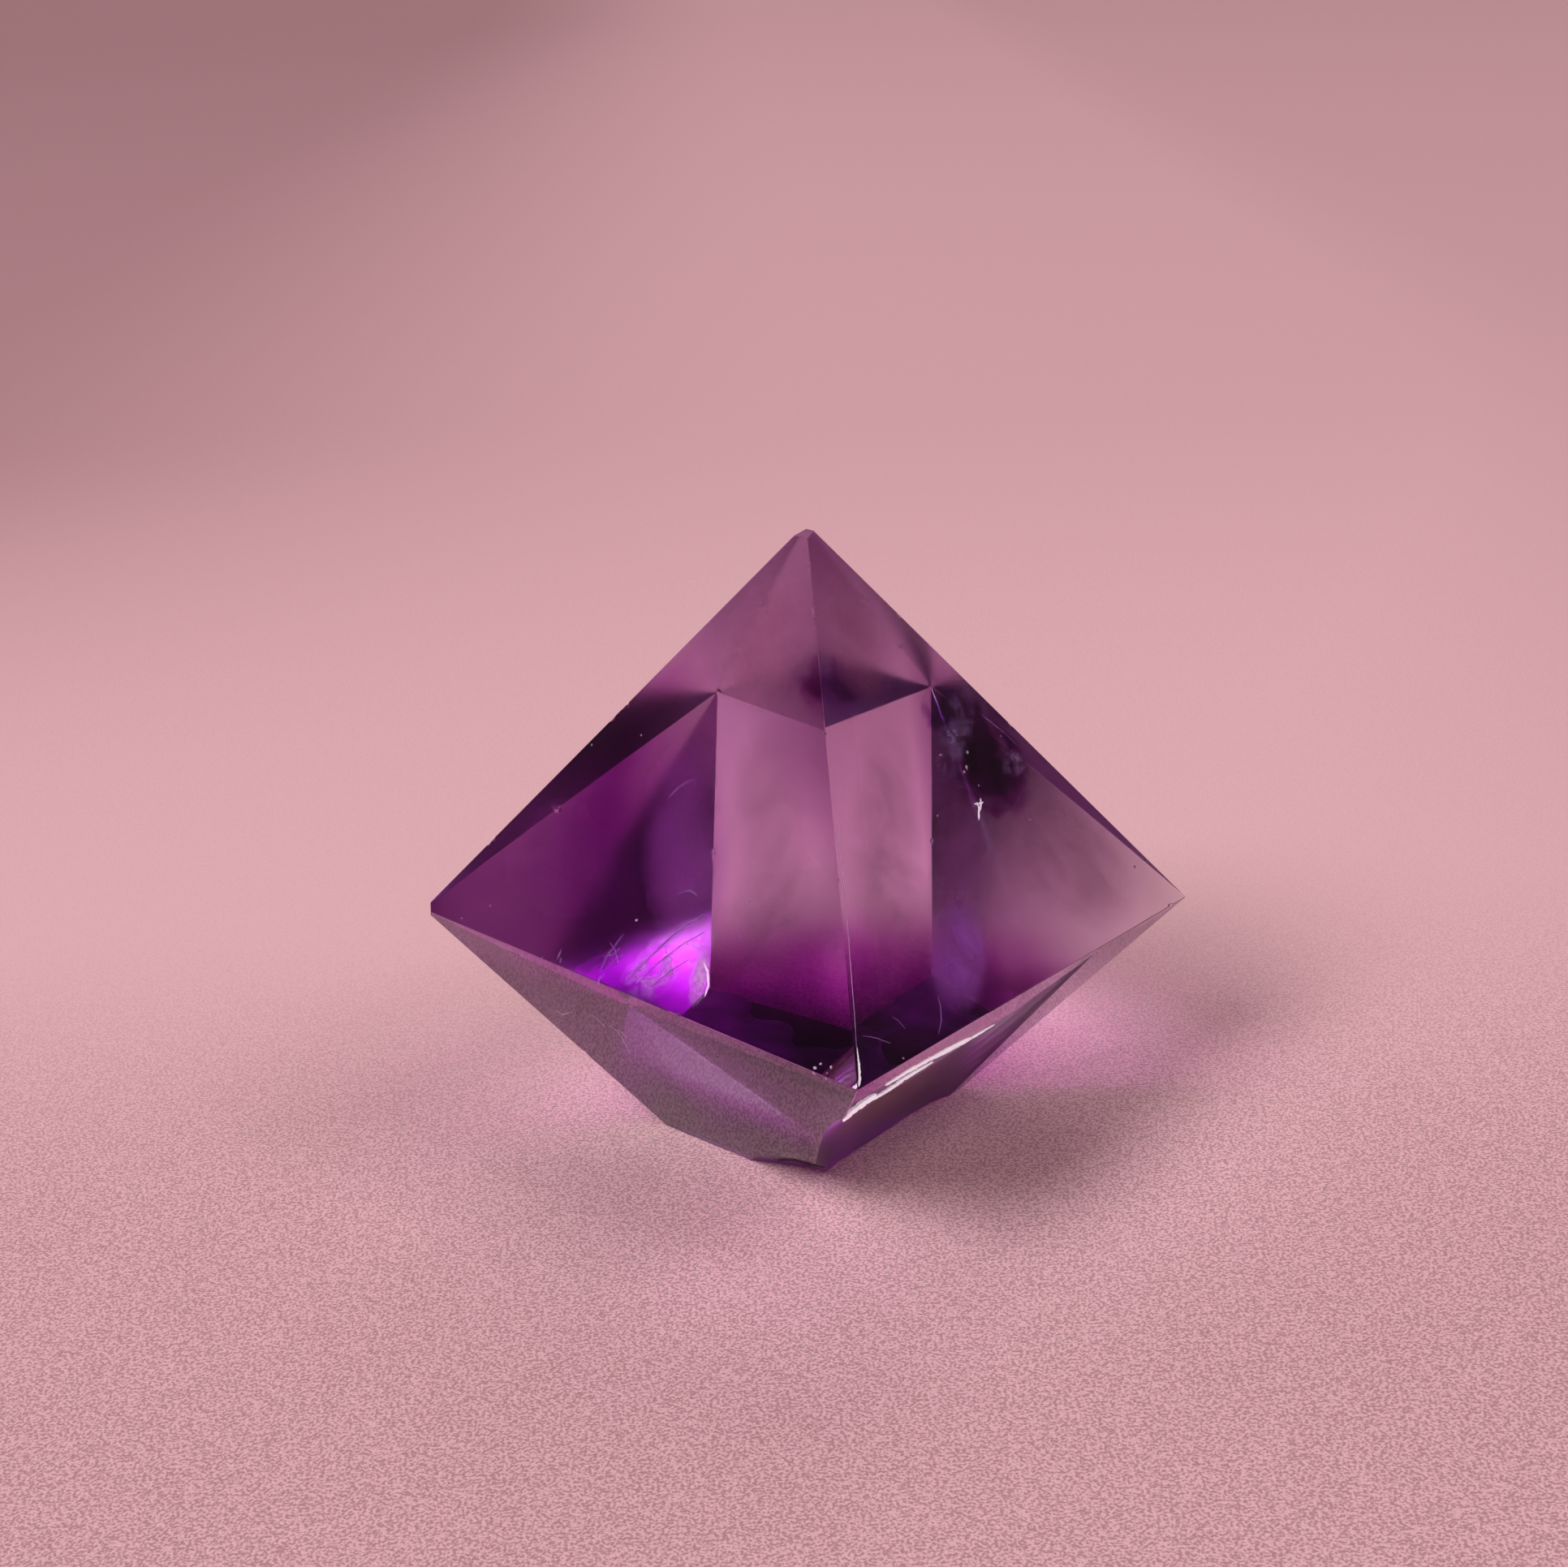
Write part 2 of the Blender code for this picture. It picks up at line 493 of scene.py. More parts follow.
# The shared clouding group's noise
CLOUDING_NOISE = (("Detail", 2.0), ("Distortion", 0.6))


class Wiring:
    """Adds nodes to one tree and joins them."""

    def __init__(self, tree: bpy.types.NodeTree) -> None:
        """Keeps the tree to work on."""
        self.tree = tree

    def node(self, kind: str, **settings: object) -> bpy.types.Node:
        """A new node.

        Args:
            kind: its type.
            settings: its own settings by name.

        Returns:
            The node.
        """
        made = self.tree.nodes.new(kind)
        for name, value in settings.items():
            setattr(made, name, value)
        return made

    def feed(self, target: Socket, source: Socket | float | tuple) -> None:
        """Links a socket to another, or sets its own value.

        Args:
            target: the input that is fed.
            source: an output, or a plain value.
        """
        if isinstance(source, bpy.types.NodeSocket):
            self.tree.links.new(source, target)
        else:
            target.default_value = source

    def maths(self, operation: str, *values: Socket | float) -> Socket:
        """A Math node.

        Args:
            operation: what it does with the values.
            values: outputs or numbers, in order.

        Returns:
            Its result.
        """
        made = self.node("ShaderNodeMath", operation=operation)
        for target, value in zip(made.inputs, values):
            self.feed(target, value)
        return made.outputs["Value"]

    def times(self, first: Socket, second: Socket | float) -> Socket:
        """The product of two values."""
        return self.maths("MULTIPLY", first, second)

    def vector(self, operation: str, *values: Socket | tuple) -> bpy.types.Node:
        """A Vector Math node.

        Args:
            operation: what it does with the values.
            values: outputs or vectors, in order.

        Returns:
            The node, whose output depends on the operation.
        """
        made = self.node("ShaderNodeVectorMath", operation=operation)
        for target, value in zip(made.inputs, values):
            self.feed(target, value)
        return made

    def blend(self, share: Socket, first: Socket | tuple, second: tuple, way: str = "MIX") -> Socket:
        """Two colours as one.

        Args:
            share: how much the second one counts.
            first: the colour that holds where the share is 0.
            second: the colour that comes in.
            way: how it does so.

        Returns:
            The blended colour.
        """
        made = self.node("ShaderNodeMix", data_type="RGBA", blend_type=way)
        for name, value in (("Factor", share), ("A", first), ("B", second)):
            self.feed(made.inputs[name], value)
        return made.outputs["Result"]

    def surface(self, kind: str, values: dict) -> None:
        """Makes a new shader the material's surface.

        Args:
            kind: the shader's type.
            values: an output or a plain value for each input that it doesn't leave as it is.
        """
        shader = self.node(kind)
        for name, value in values.items():
            self.feed(shader.inputs[name], value)
        self.feed(self.tree.nodes["Material Output"].inputs["Surface"], shader.outputs["BSDF"])

    def bump(self, distance: float, height: Socket, strength: Socket | float = 1.0) -> Socket:
        """The normal of a bumpy surface.

        Args:
            distance: how high a height of 1 stands, in metres.
            height: the bumps.
            strength: how much of them shows.

        Returns:
            The normal.
        """
        made = self.node("ShaderNodeBump")
        for name, value in (("Distance", distance), ("Height", height), ("Strength", strength)):
            self.feed(made.inputs[name], value)
        return made.outputs["Normal"]

    def place(self) -> Socket:
        """Object coordinates, which are the frame's metres on a piece at the origin."""
        return self.node("ShaderNodeTexCoord").outputs["Object"]

    def ramp(self, value: Socket, start: float, end: float, low: float, high: float) -> Socket:
        """A smooth step.

        Args:
            value: what it goes by.
            start: the value up to which the result is low.
            end: the value from which on it is high.
            low: the result before the step.
            high: the result after it.

        Returns:
            The result.
        """
        made = self.node("ShaderNodeMapRange", interpolation_type="SMOOTHSTEP")
        for name, number in zip(("From Min", "From Max", "To Min", "To Max"), (start, end, low, high)):
            made.inputs[name].default_value = number
        self.feed(made.inputs["Value"], value)
        return made.outputs["Result"]

    def noise(self, place: Socket, size: float, detail: float = 2.0, turbid: float = 0.0) -> Socket:
        """Smoky noise from 0 to 1.

        Args:
            place: where it is read.
            size: how wide its lumps are, in metres.
            detail: how many finer layers it has.
            turbid: how much it swirls.

        Returns:
            The noise.
        """
        made = self.node("ShaderNodeTexNoise")
        self.feed(made.inputs["Vector"], place)
        for name, number in (("Scale", 1.0 / size), ("Detail", detail), ("Distortion", turbid)):
            made.inputs[name].default_value = number
        return made.outputs["Fac"]

    def along(self, place: Socket, axis: Array | tuple, start: Array | tuple = (0.0, 0.0, 0.0)) -> Socket:
        """How far a place lies past the start along an axis."""
        offset = self.vector("SUBTRACT", place, tuple(start)).outputs["Vector"]
        return self.vector("DOT_PRODUCT", offset, tuple(axis)).outputs["Value"]

    def on_face(self, place: Socket, face: Face) -> Socket:
        """Tells one of the crystal's faces from the rest of its skin.

        Args:
            place: where it is asked.
            face: the face.

        Returns:
            1 on the face, and 0 away from its plane.
        """
        normal, point = STANCE.face_plane(face)
        away = self.maths("ABSOLUTE", self.along(place, normal, point + STANCE.shift()))
        return self.ramp(away, *FACE_REACH, 1.0, 0.0)

    def drawn_noise(self, place: Socket, face: Face, towards: Array, sizes: tuple) -> Socket:
        """Noise on a face, drawn out in one direction.

        Args:
            place: where it is read.
            face: the face it lies on.
            towards: the direction, in the face.
            sizes: how long and wide its lumps are in the face, and how deep.

        Returns:
            The noise.
        """
        normal, _ = STANCE.face_plane(face)
        towards = unit(towards)
        axes = np.array([towards, np.cross(normal, towards), normal])
        return self.noise(self.stretched(place, axes, sizes), 1.0)

    def stretched(self, place: Socket, axes: Array, sizes: tuple = (1.0, 1.0, 1.0)) -> Socket:
        """A place measured along three axes, each in its own size.

        Args:
            place: the place.
            axes: 3 by 3, rows are the axes.
            sizes: what counts as 1 along each of them.

        Returns:
            The measured place.
        """
        parts = [self.vector("DOT_PRODUCT", place, tuple(axis / size)).outputs["Value"]
                 for axis, size in zip(axes, sizes)]
        made = self.node("ShaderNodeCombineXYZ")
        for target, part in zip(made.inputs, parts):
            self.feed(target, part)
        return made.outputs["Vector"]


def new_material(name: str) -> tuple[bpy.types.Material, Wiring]:
    """A material whose tree is empty but for its output.

    Args:
        name: the material's name.

    Returns:
        The material, and the wiring to fill it.
    """
    material = bpy.data.materials.new(name)
    material.use_nodes = True
    material.node_tree.nodes.clear()
    wiring = Wiring(material.node_tree)
    wiring.node("ShaderNodeOutputMaterial")
    return material, wiring


def clear_material(name: str) -> tuple[bpy.types.Material, Wiring]:
    """A material with a see-through surface, for what colours the crystal from inside.

    Args:
        name: the material's name.

    Returns:
        The material, and the wiring to give it an inside.
    """
    material, wiring = new_material(name)
    wiring.surface("ShaderNodeBsdfTransparent", {})
    material.cycles.volume_step_rate = STEP_RATE
    return material, wiring


def absorb(wiring: Wiring, taken: tuple, share: Socket | None = None) -> None:
    """Gives a material a plain Volume Absorption.

    Absorption takes density times one less the colour from light, for each metre, and a
    density a little over the largest exponent keeps every part of the colour above 0.

    Args:
        wiring: the material's wiring.
        taken: what a metre takes of red, green and blue, as exponents.
        share: how much of that holds at each place, or None for all of it everywhere.
    """
    density = SPARE_DENSITY * max(taken)
    volume = wiring.node("ShaderNodeVolumeAbsorption")
    volume.inputs["Color"].default_value = (*(1.0 - part / density for part in taken), 1.0)
    volume.inputs["Density"].default_value = density
    if share is not None:
        wiring.feed(volume.inputs["Density"], wiring.times(share, density))
    target = wiring.tree.nodes["Material Output"].inputs["Volume"]
    wiring.feed(target, volume.outputs["Volume"])


def clouding_group() -> bpy.types.NodeTree:
    """The group that clouds a finish: noise, cut to the share that is wanted.

    Returns:
        A group with inputs Place, Size, Least and Most, and the output Mask.
    """
    group = bpy.data.node_groups.new("clouding", "ShaderNodeTree")
    group.interface.new_socket("Place", in_out="INPUT", socket_type="NodeSocketVector")
    for name, value in (("Size", 0.002), ("Least", 0.45), ("Most", 0.65)):
        socket = group.interface.new_socket(name, in_out="INPUT", socket_type="NodeSocketFloat")
        socket.default_value = value
    group.interface.new_socket("Mask", in_out="OUTPUT", socket_type="NodeSocketFloat")
    wiring = Wiring(group)
    given = wiring.node("NodeGroupInput").outputs
    noise = wiring.node("ShaderNodeTexNoise")
    for name, value in CLOUDING_NOISE:
        noise.inputs[name].default_value = value
    wiring.feed(noise.inputs["Vector"], given["Place"])
    wiring.feed(noise.inputs["Scale"], wiring.maths("DIVIDE", 1.0, given["Size"]))
    step = wiring.node("ShaderNodeMapRange", interpolation_type="SMOOTHSTEP")
    wiring.feed(step.inputs["Value"], noise.outputs["Fac"])
    wiring.feed(step.inputs["From Min"], given["Least"])
    wiring.feed(step.inputs["From Max"], given["Most"])
    wiring.feed(wiring.node("NodeGroupOutput").inputs["Mask"], step.outputs["Result"])
    return group


def clouding(wiring: Wiring, place: Socket, size: float, least: float, most: float) -> Socket:
    """The shared clouding group, placed in a material.

    Args:
        wiring: the material's wiring.
        place: where it is read.
        size: how wide its lumps are, in metres.
        least: the noise up to which there is nothing.
        most: the noise from which on there is everything.

    Returns:
        The group's mask, from 0 to 1.
    """
    group = bpy.data.node_groups.get("clouding") or clouding_group()
    made = wiring.node("ShaderNodeGroup", node_tree=group)
    wiring.feed(made.inputs["Place"], place)
    for name, value in (("Size", size), ("Least", least), ("Most", most)):
        made.inputs[name].default_value = value
    return made.outputs["Mask"]


# Finishes


@dataclass(frozen=True)
class ClearFluorite:
    """Clear fluorite: glassy cleavage faces, dull breaks, and an even light violet inside.

    A float attribute named broken is 1 on the faces of breaks and 0 on cleavage faces.
    """

    taken: tuple = (11.0, 28.0, 8.0)
    face_roughness: float = 0.025
    smeared_roughness: float = 0.07
    broken_roughness: float = 0.42
    scar_roughness: float = 0.30
    dull_faces: tuple = (
        (Face.LOWER_BACK_LEFT, 0.15),
        (Face.LOWER_BACK_RIGHT, 0.10),
        (Face.UPPER_BACK_LEFT, 0.17),
        (Face.UPPER_BACK_RIGHT, 0.17),
    )
    haze_heights: tuple = (23.9 * MM, 25.6 * MM)
    haze_roughness: float = 0.16
    step_face: Face = Face.LOWER_BACK_LEFT
    step_sizes: tuple = (7.0 * MM, 0.22 * MM, 1.0 * MM)
    step_height: float = 0.35
    fibre_face: Face = Face.LOWER_LEFT
    fibre_sizes: tuple = (8.0 * MM, 0.42 * MM, 1.0 * MM)
    fibre_tint: tuple = (0.76, 0.40, 0.74, 1.0)
    fibre_gap: tuple = (0.40, 0.66)
    fibre_least: float = 0.15
    fibre_reach: tuple = (-6.0 * MM, 1.0 * MM)
    smear_size: float = 3.0 * MM
    smear_gap: tuple = (0.45, 0.8)
    base_height: float = 0.5 * MM
    wave_size: float = 5.0 * MM
    wave_height: float = 0.006 * MM
    clear_tint: tuple = (0.97, 0.93, 0.97, 1.0)
    left_tint: tuple = (0.80, 0.62, 0.86, 1.0)
    left_reach: tuple = (-4.0 * MM, -15.0 * MM)

    def material(self) -> bpy.types.Material:
        """The crystal's glass, with its colour deeper to the left.

        Returns:
            The material.
        """
        material, wiring = new_material("clear_violet_fluorite")
        place = wiring.place()
        wiring.surface("ShaderNodeBsdfPrincipled", {
            "IOR": FLUORITE_IOR,
            "Transmission Weight": 1.0,
            "Base Color": self.tint(wiring, place),
            "Roughness": self.roughness(wiring, place),
            "Normal": self.waves(wiring, place),
        })
        absorb(wiring, self.taken)
        return material

    def tint(self, wiring: Wiring, place: Socket) -> Socket:
        """Surface colour: clear, violet towards the left tip, and brownish along the fibres.

        Args:
            wiring: the material's wiring.
            place: where it is read.

        Returns:
            The colour.
        """
        across = wiring.along(place, STANCE.axes()[:, 0])
        share = wiring.ramp(across, *self.left_reach, 0.0, 1.0)
        colour = wiring.blend(share, self.clear_tint, self.left_tint)
        return wiring.blend(self.fibres(wiring, place), colour, self.fibre_tint)

    def fibres(self, wiring: Wiring, place: Socket) -> Socket:
        """Threads on the lower left face, drawn out along the edge over it.

        Args:
            wiring: the material's wiring.
            place: where it is read.

        Returns:
            How much of a thread there is, which rises towards the front tip.
        """
        tips = STANCE.tips()
        towards = unit(tips["front"] - tips["left"])
        start = (tips["left"] + tips["front"]) / 2.0 + STANCE.shift()
        threads = wiring.drawn_noise(place, self.fibre_face, towards, self.fibre_sizes)
        share = wiring.ramp(threads, *self.fibre_gap, self.fibre_least, 1.0)
        near = wiring.ramp(wiring.along(place, towards, start), *self.fibre_reach, 0.0, 1.0)
        return wiring.times(wiring.times(share, near), wiring.on_face(place, self.fibre_face))

    def roughness(self, wiring: Wiring, place: Socket) -> Socket:
        """The roughest of what is at a place: smears, breaks, the base, the top and dull faces.

        Args:
            wiring: the material's wiring.
            place: where it is read.

        Returns:
            The roughness.
        """
        smear = clouding(wiring, place, self.smear_size, *self.smear_gap)
        result = wiring.ramp(smear, 0.0, 1.0, self.face_roughness, self.smeared_roughness)
        broken = wiring.node("ShaderNodeAttribute", attribute_name="broken").outputs["Fac"]
        height = wiring.along(place, (0.0, 0.0, 1.0))
        base = wiring.ramp(height, self.base_height * 2.0, self.base_height, 0.0, 1.0)
        others = [
            wiring.times(broken, self.scar_roughness),
            wiring.times(wiring.times(base, broken), self.broken_roughness),
            wiring.ramp(height, *self.haze_heights, 0.0, self.haze_roughness),
        ]
        for face, roughness in self.dull_faces:
            others.append(wiring.times(wiring.on_face(place, face), roughness))
        for other in others:
            result = wiring.maths("MAXIMUM", result, other)
        return result

    def waves(self, wiring: Wiring, place: Socket) -> Socket:
        """The slight unevenness of cleavage faces, which softens what is seen through them.

        Args:
            wiring: the material's wiring.
            place: where it is read.

        Returns:
            The normal, with growth steps on one face at the back.
        """
        tips = STANCE.tips()
        steps = wiring.drawn_noise(place, self.step_face, tips["back"] - tips["left"], self.step_sizes)
        steps = wiring.times(steps, wiring.on_face(place, self.step_face))
        waves = wiring.noise(place, self.wave_size)
        height = wiring.maths("MULTIPLY_ADD", steps, self.step_height, waves)
        return wiring.bump(self.wave_height, height)


@dataclass(frozen=True)
class ZoneViolet:
    """A violet growth zone: clear, with an absorption that fades in from the zone's sides.

    Zones follow the cube planes of the crystal, so each side is a plane across an own axis,
    given as its outward direction, a point on it and the depth over which the colour comes in.
    The ruffle is how far the noise moves that plane to and fro.
    """

    name: str
    taken: tuple
    sides: tuple
    ruffle: float
    patchy: bool
    patch_size: float = 3.6 * MM
    patch_gap: tuple = (0.30, 0.62)
    patch_least: float = 0.35

    def material(self) -> bpy.types.Material:
        """A see-through surface with the absorption inside, even or fading and patchy.

        Returns:
            The material.
        """
        material, wiring = clear_material(self.name)
        if not self.patchy:
            absorb(wiring, self.taken)
            return material
        place = wiring.place()
        lumps = wiring.noise(wiring.stretched(place, STANCE.axes().T), self.patch_size)
        swing = wiring.times(wiring.maths("SUBTRACT", lumps, 0.5), 2.0 * self.ruffle)
        share = wiring.ramp(lumps, *self.patch_gap, self.patch_least, 1.0)
        for outward, point, fade in self.sides:
            depth = wiring.maths("ADD", wiring.along(place, outward, point), swing)
            share = wiring.times(share, wiring.ramp(depth, 0.0, -fade, 0.0, 1.0))
        absorb(wiring, self.taken, share)
        return material


@dataclass(frozen=True)
class SmokyViolet:
    """Smoke in the crystal: absorption in lumps, thinning out towards the cloud's edge."""

    name: str
    taken: tuple
    centre: Array
    axes: Array
    lump: float
    gap: tuple
    turbid: float = 0.8
    full_reach: float = 0.6
    thinning: float = 0.45

    def material(self) -> bpy.types.Material:
        """A see-through surface with lumpy absorption inside.

        Returns:
            The material.
        """
        material, wiring = clear_material(self.name)
        place = wiring.place()
        offset = wiring.vector("SUBTRACT", place, tuple(self.centre)).outputs["Vector"]
        within = wiring.stretched(offset, np.linalg.inv(self.axes).T)
        reach = wiring.vector("LENGTH", within).outputs["Value"]
        lumps = wiring.noise(place, self.lump, turbid=self.turbid)
        core = wiring.times(wiring.maths("SUBTRACT", self.full_reach, reach), self.thinning)
        filled = wiring.maths("ADD", lumps, core)
        absorb(wiring, self.taken, wiring.ramp(filled, *self.gap, 0.0, 1.0))
        return material


@dataclass(frozen=True)
class PaleMark:
    """Plain marks: healed cracks, scratches, specks and dark grains, and painted highlights and a painted
    shadow line.
    """

    name: str
    colour: tuple
    roughness: float = 0.45
    alpha: float = 1.0
    # A glow of its own, which makes a painted highlight shine
    glow: float = 0.0

    def material(self) -> bpy.types.Material:
        """A plain, slightly glassy solid.

        Returns:
            The material.
        """
        material, wiring = new_material(self.name)
        wiring.surface("ShaderNodeBsdfPrincipled", {
            "Base Color": (*self.colour, 1.0),
            "Roughness": self.roughness,
            "Alpha": self.alpha,
            "Emission Color": (*self.colour, 1.0),
            "Emission Strength": self.glow,
        })
        return material


# The crystal


@dataclass
class Damage:
    """What is broken from the crystal: cutters, each a closed solid, before centring.

    With a margin each cutter takes that much more, for things that stay sealed inside.
    """

    margin: float = 0.0
    h: float = STANCE.half_diagonal
    scar_lip_v: float = 0.200
    scar_lip_rise: float = 0.170
    scar_lip_power: float = 2.8
    scar_u: tuple = (0.100, 1.060)
    scar_v_end: float = 0.800
    scar_depth: float = 0.046
    scar_edge_margin: float = 0.004
    scar_steps: tuple = (120, 64)
    scar_overrun: tuple = (0.03, 0.10)
    scar_crowding: float = 1.6
    ripple_height: float = 0.0006
    ripple_length: float = 0.055
    cutter_height: float = 0.30
    chip_radius: float = 1.60
    chip_points: tuple = ((-0.135, -0.244, 0.0), (0.060, -0.328, 0.0), (0.0486, -0.5390, 0.136))
    chip_ring: float = 0.060
    chip_ring_reach: float = 0.4
    chip_way: tuple = (0.0, -0.5, -1.0)
    chip_steps: tuple = (150, 96)
    chip_crowding: float = 2.2
    base_reach: float = 0.62
    base_steps: int = 110
    base_relief: float = 0.0150
    base_thickness: float = 0.20
    nick_steps: tuple = (9, 12)
    nick_lumps: float = 0.18
    nick_length: float = 1.5
    nick_lift: float = 0.72
    nick_seed: int = 7

    def scar(self) -> tuple[Array, list]:
        """The block with a swollen underside that leaves the flake scar.

        Over the shares a across and d down, the lip lies at v = lip0 - rise s^p with s the
        share of u along the scar, and the depth is w(a) (1 - (2 d^0.55 - 1)^2 + 0.1 d) times
        the scar's depth, w(a) = (4 a (1 - a))^0.6. Fine ripples run round the scar's left end.

        Returns:
            Points and faces.
        """
        tips = STANCE.tips()
        along = unit(tips["right"] - tips["front"])
        outward, _ = STANCE.face_plane(Face.LOWER_RIGHT)
        inward = -outward
        down = np.cross(inward, along)
        down = down if down @ (tips["bottom"] - tips["front"]) > 0.0 else -down
        lower_edge = tips["bottom"] - tips["front"]
        slope = (lower_edge @ along) / (lower_edge @ down)
        run_u, run_v = self.scar_overrun
        across, share = np.meshgrid(
            np.linspace(-run_u, 1.0 + run_u, self.scar_steps[0]),
            signed_power(np.linspace(-run_v, 1.0, self.scar_steps[1]), self.scar_crowding),
            indexing="ij",
        )
        u_start, u_end = self.scar_u
        u_left = np.maximum(slope * share * self.scar_v_end, u_start) - self.scar_edge_margin
        u = u_left + across * (u_end - u_left)
        climb = np.clip((u - u_start) / (u_end - u_start), 0.0, 1.0) ** self.scar_lip_power
        lip = self.scar_lip_v - self.scar_lip_rise * climb
        v = lip + share * (self.scar_v_end - lip)
        fall = 1.0 - (2.0 * signed_power(share, 0.55) - 1.0) ** 2 + 0.10 * np.clip(share, 0.0, None)
        width = signed_power(4.0 * across * (1.0 - across), 0.6)
        outside = (width < 0.0) | (fall < 0.0)
        depth = self.scar_depth * np.where(outside, -np.abs(width * fall), width * fall)
        ring = np.hypot(u - u_start, 1.4 * (v - self.scar_lip_v))
        depth = depth + self.ripple_height * np.sin(ring / self.ripple_length * 2.0 * math.pi) * ~outside
        face_axes = np.array([along, down, inward])
        low = np.stack([u, v, depth + self.margin / self.h], -1) @ face_axes * self.h + tips["front"]
        return closed_block(low, low - inward * self.cutter_height * self.h)

    def chip(self) -> tuple[Array, list]:
        """The ball that leaves the hollow under the front edge.

        The ball goes through three points on the hollow's rim, and its reach swells and
        falls in fine rings round the pole that faces the crystal.

        Returns:
            Points and faces.
        """
        first, second, third = (np.array(point) * self.h for point in self.chip_points)
        radius = self.chip_radius * self.h
        a, b = second - first, third - first
        normal = np.cross(a, b)
        middle = first + (
            np.cross(normal, a) * (b @ b) + np.cross(b, normal) * (a @ a)
        ) / (2.0 * (normal @ normal))
        height = math.sqrt(radius**2 - (middle - first) @ (middle - first))
        side = unit(normal) * np.sign(normal @ np.array(self.chip_way))
        centre = middle + side * height
        pole = -side
        flank = unit(np.cross(pole, [1.0, 0.0, 0.0]))
        rows, turns = self.chip_steps
        arc = math.pi * np.linspace(0.0, 1.0, rows)[:, None] ** self.chip_crowding * self.chip_radius
        rings = np.sin(arc / self.chip_ring * 2.0 * math.pi) * (arc < self.chip_ring_reach)
        reach = radius + self.margin + rings * self.ripple_height * self.h * np.ones((1, turns))
        axes = np.array([flank, np.cross(pole, flank), pole])
        return closed_ball(reach, axes, centre, self.chip_crowding)

    def base(self) -> tuple[Array, list]:
        """The block whose rough top leaves the uneven break that the crystal rests on.

        The height is a sum of waves in turned directions, the large ones folded to ridges,
        and where it is below the rest plane the crystal keeps its flat foot.

        Returns:
            Points and faces.
        """
        reach = self.base_reach * self.h
        line = np.linspace(-reach, reach, self.base_steps)
        x, y = np.meshgrid(line, line, indexing="ij")
        s, t = x / self.h, y / self.h
        ridges = np.abs(np.sin(7.0 * s + 3.1 * t + 1.1 * np.sin(4.0 * t))) - 0.42
        steps = 0.45 * np.sin(17.0 * s - 9.0 * t + 1.7 * np.sin(6.0 * s)) * np.sin(11.0 * t + 0.8)
        fine = 0.20 * np.sin(41.0 * s + 23.0 * t) * np.sin(37.0 * t - 13.0 * s)
        z = (ridges + steps + fine) * self.base_relief * self.h + self.margin
        top = np.stack([x, y, z], -1)
        under = np.stack([x, y, np.full_like(z, -self.base_thickness * self.h)], -1)
        return closed_block(top, under)

    def nicks(self) -> tuple[Array, list]:
        """Small shell-shaped nicks along the edges, as lumpy balls set on them.

        Returns:
            Points and faces of all balls.
        """
        tips = STANCE.tips()
        random = np.random.default_rng(self.nick_seed)
        balls = []
        for first, second, share, size in NICKS:
            place = tips[first] + (tips[second] - tips[first]) * share
            lumps = 1.0 + self.nick_lumps * random.standard_normal(self.nick_steps)
            edge = unit(tips[second] - tips[first])
            outward = unit(place - STANCE.middle())
            outward = unit(outward - edge * (outward @ edge))
            axes = np.array([edge * self.nick_length, np.cross(outward, edge), outward]) * size
            balls.append(closed_ball(lumps, axes, place + outward * size * self.nick_lift))
        return merged(balls)


# The edge's two tips, the share of the way from the first to the second, and the size in metres
NICKS = (
    ("top", "left", 0.468, 0.00034),
    ("top", "left", 0.502, 0.00022),
    ("top", "left", 0.822, 0.00030),
    ("top", "right", 0.23, 0.00022),
    ("top", "right", 0.31, 0.00018),
    ("top", "right", 0.52, 0.00020),
    ("top", "front", 0.085, 0.00016),
    ("top", "front", 0.172, 0.00028),
    ("top", "front", 0.400, 0.00016),
    ("top", "front", 0.655, 0.00018),
    ("left", "front", 0.30, 0.00020),
    ("left", "front", 0.62, 0.00018),
    ("right", "front", 0.055, 0.00026),
    ("right", "front", 0.12, 0.00018),
    ("back", "right", 0.33, 0.00034),
    ("back", "left", 0.57, 0.00040),
    ("top", "back", 0.44, 0.00036),
    ("top", "back", 0.73, 0.00024),
    ("bottom", "left", 0.58, 0.00034),
    ("bottom", "back", 0.66, 0.00030),
)


